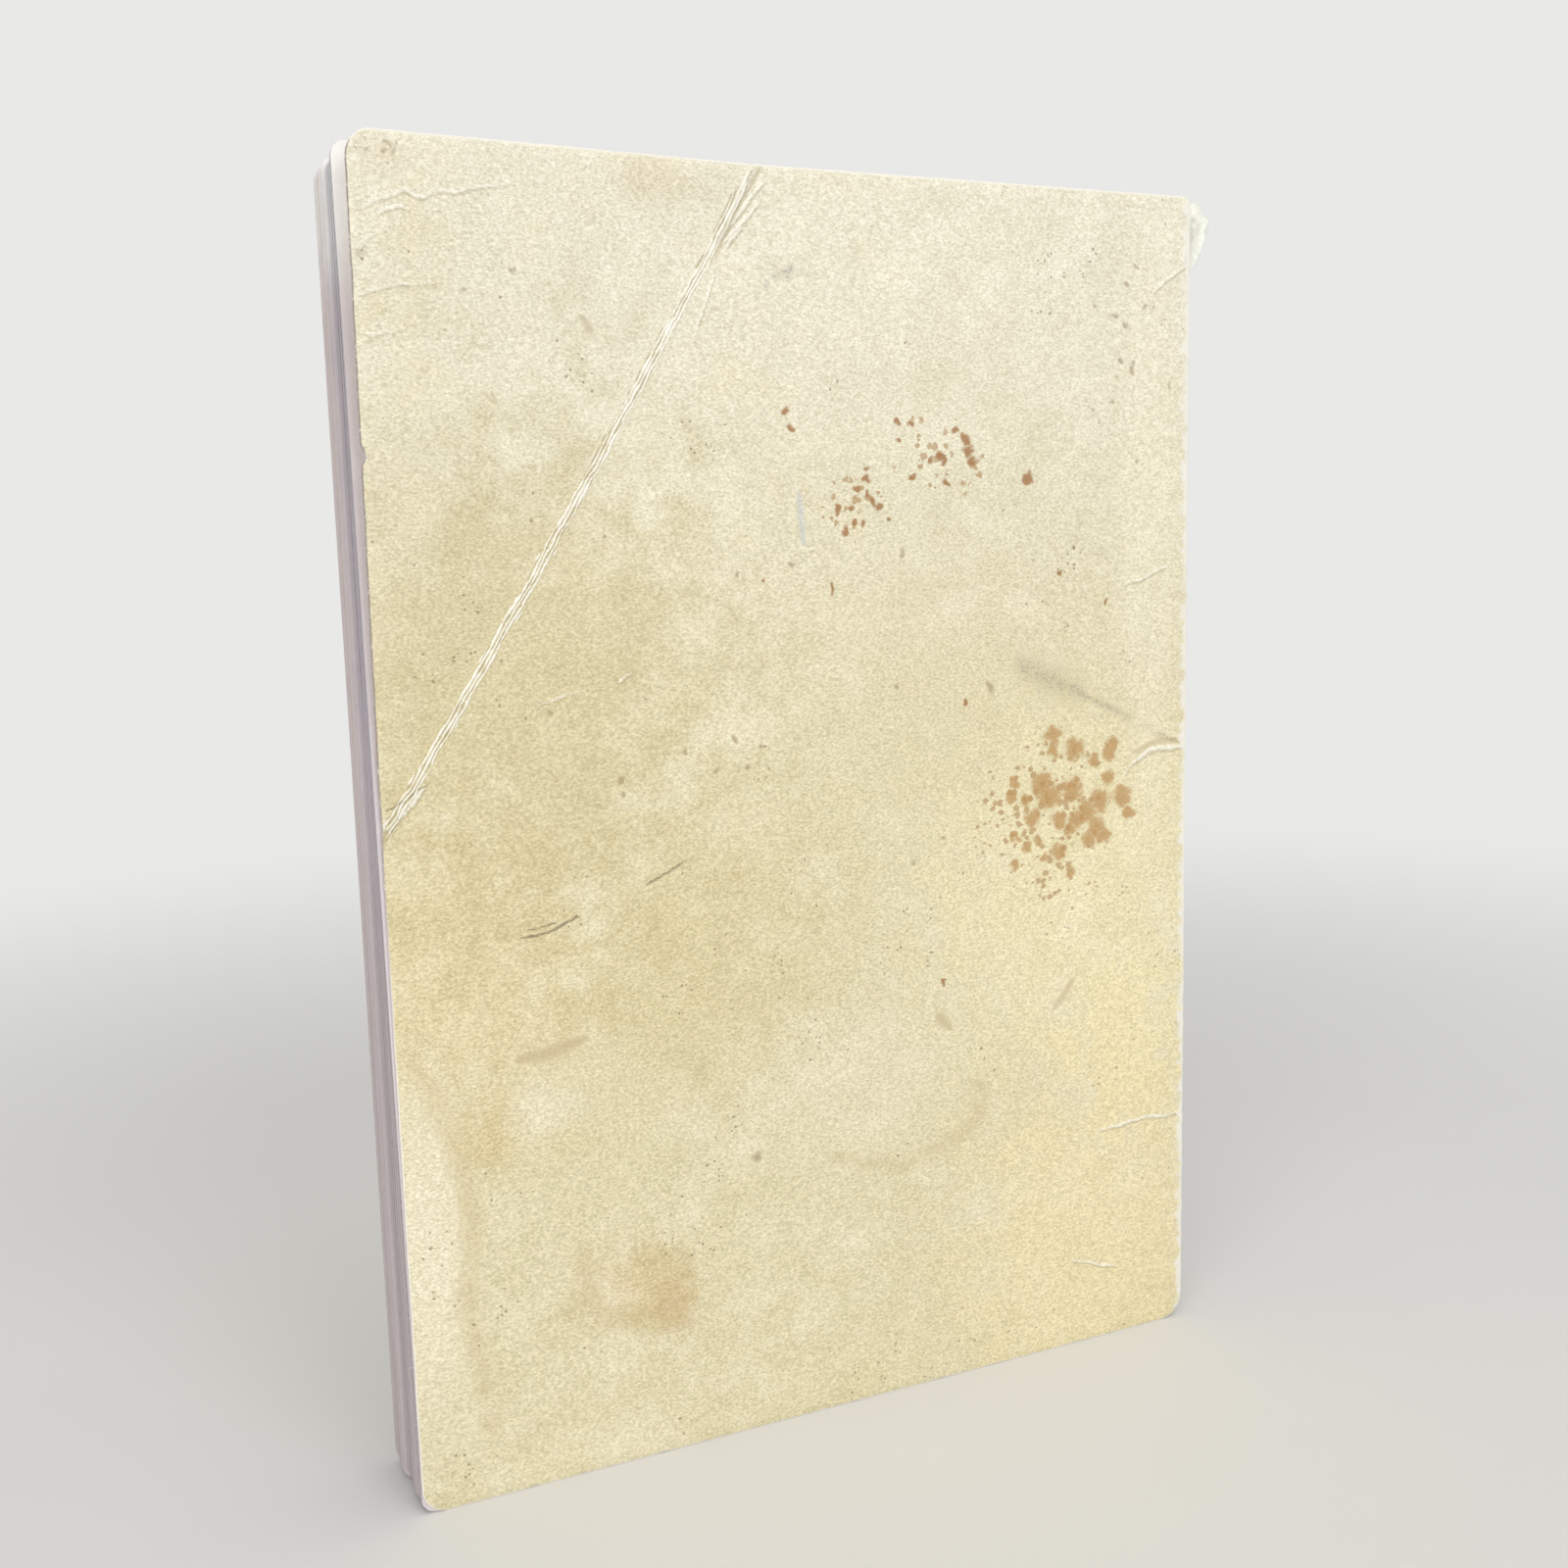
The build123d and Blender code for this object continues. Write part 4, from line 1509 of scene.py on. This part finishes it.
@dataclass
class Fray(NodePiece):
    """Loose fibres that stand out of worn and torn edges."""

    fibre: bpy.types.Material | None = None
    edges: tuple[tuple[Vector, ...], ...] = ()
    outward: tuple[Vector, ...] = ()
    spacing: float = 1.2
    length: float = 1.1
    width: float = 0.07
    spread: float = 0.8
    seed: int = 5

    def seed_mesh(self) -> bpy.types.Mesh:
        """The edges as lines, each point with its way out."""
        points = [p * MM for edge in self.edges for p in edge]
        ways = [way for edge, way in zip(self.edges, self.outward) for _ in edge]
        lines, start = [], 0
        for edge in self.edges:
            lines += [(start + i, start + i + 1) for i in range(len(edge) - 1)]
            start += len(edge)
        mesh = bpy.data.meshes.new(self.name)
        mesh.from_pydata(points, lines, [])
        out = mesh.attributes.new("outward", "FLOAT_VECTOR", "POINT")
        out.data.foreach_set("vector", [part for way in ways for part in way])
        return mesh

    def inputs(self) -> dict[str, tuple[str, Any]]:
        """Sizes of the fibres, in metres, and their material."""
        return {
            "Spacing": ("NodeSocketFloat", self.spacing * MM),
            "Length": ("NodeSocketFloat", self.length * MM),
            "Width": ("NodeSocketFloat", self.width * MM),
            "Spread": ("NodeSocketFloat", self.spread),
            "Seed": ("NodeSocketInt", self.seed),
            "Fibre": ("NodeSocketMaterial", self.fibre),
        }

    def grow(self, sheet: NodeSheet, given: dict[str, Wire]) -> Wire:
        """Sets a thin cone on points along the edges.

        Args:
            sheet: The tree.
            given: Its inputs by name.

        Returns:
            The geometry.
        """
        curve = sheet.add("GeometryNodeMeshToCurve", None, {"Mesh": given["Geometry"]})
        points = sheet.add(
            "GeometryNodeCurveToPoints", {"mode": "LENGTH"}, {"Curve": curve, "Length": given["Spacing"]}
        )
        cone = sheet.add(
            "GeometryNodeMeshCone",
            {"fill_type": "NGON"},
            {
                "Vertices": 3,
                "Radius Top": given["Width"] * 0.15,
                "Radius Bottom": given["Width"] * 0.5,
                "Depth": given["Length"],
            },
        )
        out = sheet.add("GeometryNodeInputNamedAttribute", {"data_type": "FLOAT_VECTOR"}, {"Name": "outward"})
        stray = sheet.add(
            "FunctionNodeRandomValue",
            {"data_type": "FLOAT_VECTOR"},
            {0: (-1.0, -1.0, -1.0), 1: (1.0, 1.0, 1.0), "Seed": given["Seed"]},
        )
        way = sheet.vector("ADD", out, sheet.scaled(stray, given["Spread"]))
        turn = sheet.add("FunctionNodeAlignRotationToVector", {"axis": "Z"}, {"Vector": way})
        size = sheet.add(
            "FunctionNodeRandomValue", {"data_type": "FLOAT"}, {2: 0.25, 3: 1.0, "Seed": given["Seed"] + 1}, 1
        )
        fibres = sheet.add(
            "GeometryNodeInstanceOnPoints",
            None,
            {"Points": points, "Instance": cone, "Rotation": turn, "Scale": size},
        )
        plain = sheet.add("GeometryNodeRealizeInstances", None, {"Geometry": fibres})
        return sheet.add("GeometryNodeSetMaterial", None, {"Geometry": plain, "Material": given["Fibre"]})


# Floor, light and camera


@dataclass(frozen=True)
class Studio:
    """Pale floor and background, soft light and the photograph's viewpoint."""

    eye: Triple = (-120.5, -256.7, 152.0)
    turn: float = math.radians(24.57)
    tilt: float = math.radians(8.39)
    roll: float = math.radians(1.53)
    lens: float = 38.18
    floor_reach: float = 5.0
    fade_from: float = 170.0
    fade_to: float = 640.0
    floor_tone: Tone = Tone(226, 225, 222)
    background: Tone = Tone(233, 233, 231)
    sky: float = 0.57
    key_power: float = 4.75
    fill_power: float = 5.15
    top_power: float = 2.8
    key_place: Triple = (0.25, -1.3, 0.95)
    fill_place: Triple = (-0.95, -0.85, 0.5)
    top_place: Triple = (0.0, -0.3, 1.4)
    lamp_size: float = 0.8
    aim: Triple = (0.0, 0.0, 0.1)
    sensor: float = 36.0

    def camera(self) -> None:
        """Makes the camera at the photograph's viewing angle."""
        forward = Vector(
            (
                math.sin(self.turn) * math.cos(self.tilt),
                math.cos(self.turn) * math.cos(self.tilt),
                -math.sin(self.tilt),
            )
        )
        level = Vector((math.cos(self.turn), -math.sin(self.turn), 0.0))
        down = forward.cross(level)
        right = level * math.cos(self.roll) + down * math.sin(self.roll)
        up = level * math.sin(self.roll) - down * math.cos(self.roll)
        data = bpy.data.cameras.new("camera")
        data.lens = self.lens
        data.sensor_width = self.sensor
        data.clip_start = 0.01
        camera = linked("camera", data)
        turned = Matrix((right, up, -forward)).transposed().to_4x4()
        camera.matrix_world = Matrix.Translation(Vector(self.eye) * MM) @ turned
        bpy.context.scene.camera = camera

    @staticmethod
    def seen(sheet: NodeSheet) -> Wire:
        """1 for rays that show the background: straight ones, reflections and those through glass."""
        path = sheet.put("ShaderNodeLightPath")
        rays = [Wire(sheet, path.outputs[f"Is {kind} Ray"]) for kind in ("Camera", "Glossy", "Transmission")]
        return sheet.math("MINIMUM", rays[0] + rays[1] + rays[2], 1.0)

    def world(self) -> None:
        """Even sky light, with a pale background where it is seen."""
        world = bpy.data.worlds.new("studio")
        world.use_nodes = True
        world.node_tree.nodes.clear()
        bpy.context.scene.world = world
        sheet = NodeSheet(world.node_tree)
        light = sheet.add("ShaderNodeBackground", None, {"Color": (1.0, 1.0, 1.0, 1.0), "Strength": self.sky})
        pale = sheet.add("ShaderNodeBackground", None, {"Color": self.background.rgba, "Strength": 1.0})
        shown = sheet.add("ShaderNodeMixShader", None, {0: self.seen(sheet), 1: light, 2: pale})
        sheet.put("ShaderNodeOutputWorld", None, {"Surface": shown})

    def floor(self) -> None:
        """Floor that takes the book's shadow and fades into the background."""
        build = bmesh.new()
        bmesh.ops.create_circle(build, cap_ends=True, segments=96, radius=self.floor_reach)
        mesh = finished(build, "floor")
        skin = Skin("studio_floor")
        dust = skin.noise(skin.place, 0.01, 3.0, 0.5)
        colour = skin.scaled(self.floor_tone.rgba[:3], dust * 0.04 + 0.98)
        matte = skin.add("ShaderNodeBsdfDiffuse", None, {"Color": colour})
        glow = skin.add("ShaderNodeEmission", None, {"Color": self.background.rgba, "Strength": 1.0})
        far = ease(skin.vector("LENGTH", skin.place, (0.0, 0.0, 0.0), "Value"), self.fade_from, self.fade_to)
        shown = skin.add("ShaderNodeMixShader", None, {0: far * self.seen(skin), 1: matte, 2: glow})
        skin.put("ShaderNodeOutputMaterial", None, {"Surface": shown})
        mesh.materials.append(skin.material)
        linked("floor", mesh)

    def lamp(self, name: str, power: float, place: Triple) -> None:
        """One large soft lamp, aimed at the book."""
        data = bpy.data.lights.new(name, "AREA")
        data.energy = power
        data.shape = "DISK"
        data.size = self.lamp_size
        lamp = linked(name, data)
        lamp.location = place
        ray = Vector(self.aim) - Vector(place)
        lamp.rotation_euler = ray.to_track_quat("-Z", "Y").to_euler()

    def build(self) -> None:
        """Builds the scene round the book."""
        bpy.context.scene.view_settings.view_transform = "Standard"
        self.camera()
        self.world()
        self.floor()
        self.lamp("key", self.key_power, self.key_place)
        self.lamp("fill", self.fill_power, self.fill_place)
        self.lamp("top", self.top_power, self.top_place)


# Frayed edges and the run


def edge_line(sheet: CoverSheet, rim: Rim) -> tuple[Vector, ...]:
    """Line along one edge of a cover, at the card's middle.

    Args:
        sheet: The cover.
        rim: The edge that is meant.

    Returns:
        The line's points.
    """
    inset, steps = 0.15, 60
    ends = ((sheet.fore_x + inset, 6.0), (sheet.fore_x + inset, sheet.height - 6))
    if rim is Rim.HEAD:
        ends = ((sheet.fore_x + 6, sheet.height - inset), (sheet.fold_x - 4, sheet.height - inset))
    start, end = (Vector(p) for p in ends)
    return tuple(sheet.place(*start.lerp(end, i / steps), 0.0) for i in range(steps + 1))


def flap_line(sheet: SpineSheet) -> tuple[Vector, ...]:
    """Line along the ragged rim of the spine's torn flap."""
    rim = [p for p in sheet.outline() if (Vector(p) - sheet.foot).dot(sheet.over) > 2.0]
    return tuple(sheet.place(y, z, 0.0) for y, z in rim)


def report(piece: bpy.types.Object) -> None:
    """Tells what a piece holds."""
    LOG.info("%s: %d faces", piece.name, len(piece.data.polygons))


def main() -> None:
    """Builds the scene, piece by piece."""
    logging.basicConfig(level=logging.INFO, format="%(message)s")
    Studio().build()

    torn_tones = (Tone(243, 246, 237), Tone(240, 242, 229))
    # Its strong streaks are partly fibre, partly painted shade of the torn flap's flutes.
    raw = PaperFinish("raw_card", *torn_tones, fibre=0.9, depth=0.2, contrast=0.9).make()
    worn_rim = RimFinish().make()
    inside_tones = (Tone(236, 228, 206), Tone(226, 212, 178))
    inside = PaperFinish("cover_inside", *inside_tones, fibre=0.9, depth=0.05).make()
    page = LeafFinish().make()
    card = CardFinish().make()
    back_card = BackCardFinish().make()

    leaves = LeafStack("leaf_stack", "book_block", "leaves", page=page, edge=PageEdgeFinish().make())
    back = CoverSheet(
        "back_cover_card",
        "back_cover",
        "back_cover",
        "back_card",
        finishes={Face.OUTER: back_card, Face.INNER: inside, Face.EDGE: worn_rim},
        side=Side.BACK,
        nick=Spot(-73.7, 165.3, 1.2),
        worn=Wear(),
    )
    front = CoverSheet(
        "front_cover_card",
        "front_cover",
        "front_cover",
        "front_card",
        finishes={Face.OUTER: card, Face.INNER: inside, Face.EDGE: worn_rim},
        seed=21,
    )
    spine = SpineSheet(
        "spine_card",
        "book_block",
        "spine",
        "spine_card",
        finishes={Face.OUTER: card, Face.INNER: raw, Face.EDGE: raw},
    )
    for piece in (leaves, back, front, spine):
        report(piece.build())

    outward = tuple(Vector(rim.value) for rim in Rim)
    for sheet, name, slot in ((back, "back_cover_fray", "back_card"), (front, "front_cover_fray", "front_card")):
        edges = tuple(edge_line(sheet, rim) for rim in Rim)
        report(Fray(name, sheet.body, slot, fibre=raw, edges=edges, outward=outward).build())
    flap_out = Vector((0.8, 0.3, 0.6))
    torn = Fray(
        "spine_fray",
        spine.body,
        "spine_card",
        fibre=raw,
        edges=(flap_line(spine),),
        outward=(flap_out,),
        spacing=0.25,
        length=0.8,
    )
    report(torn.build())

    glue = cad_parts["spine_glue"]
    glue.data.materials.clear()
    glue.data.materials.append(GlueFinish().make())
    report(glue)


if __name__ == "__main__":
    main()
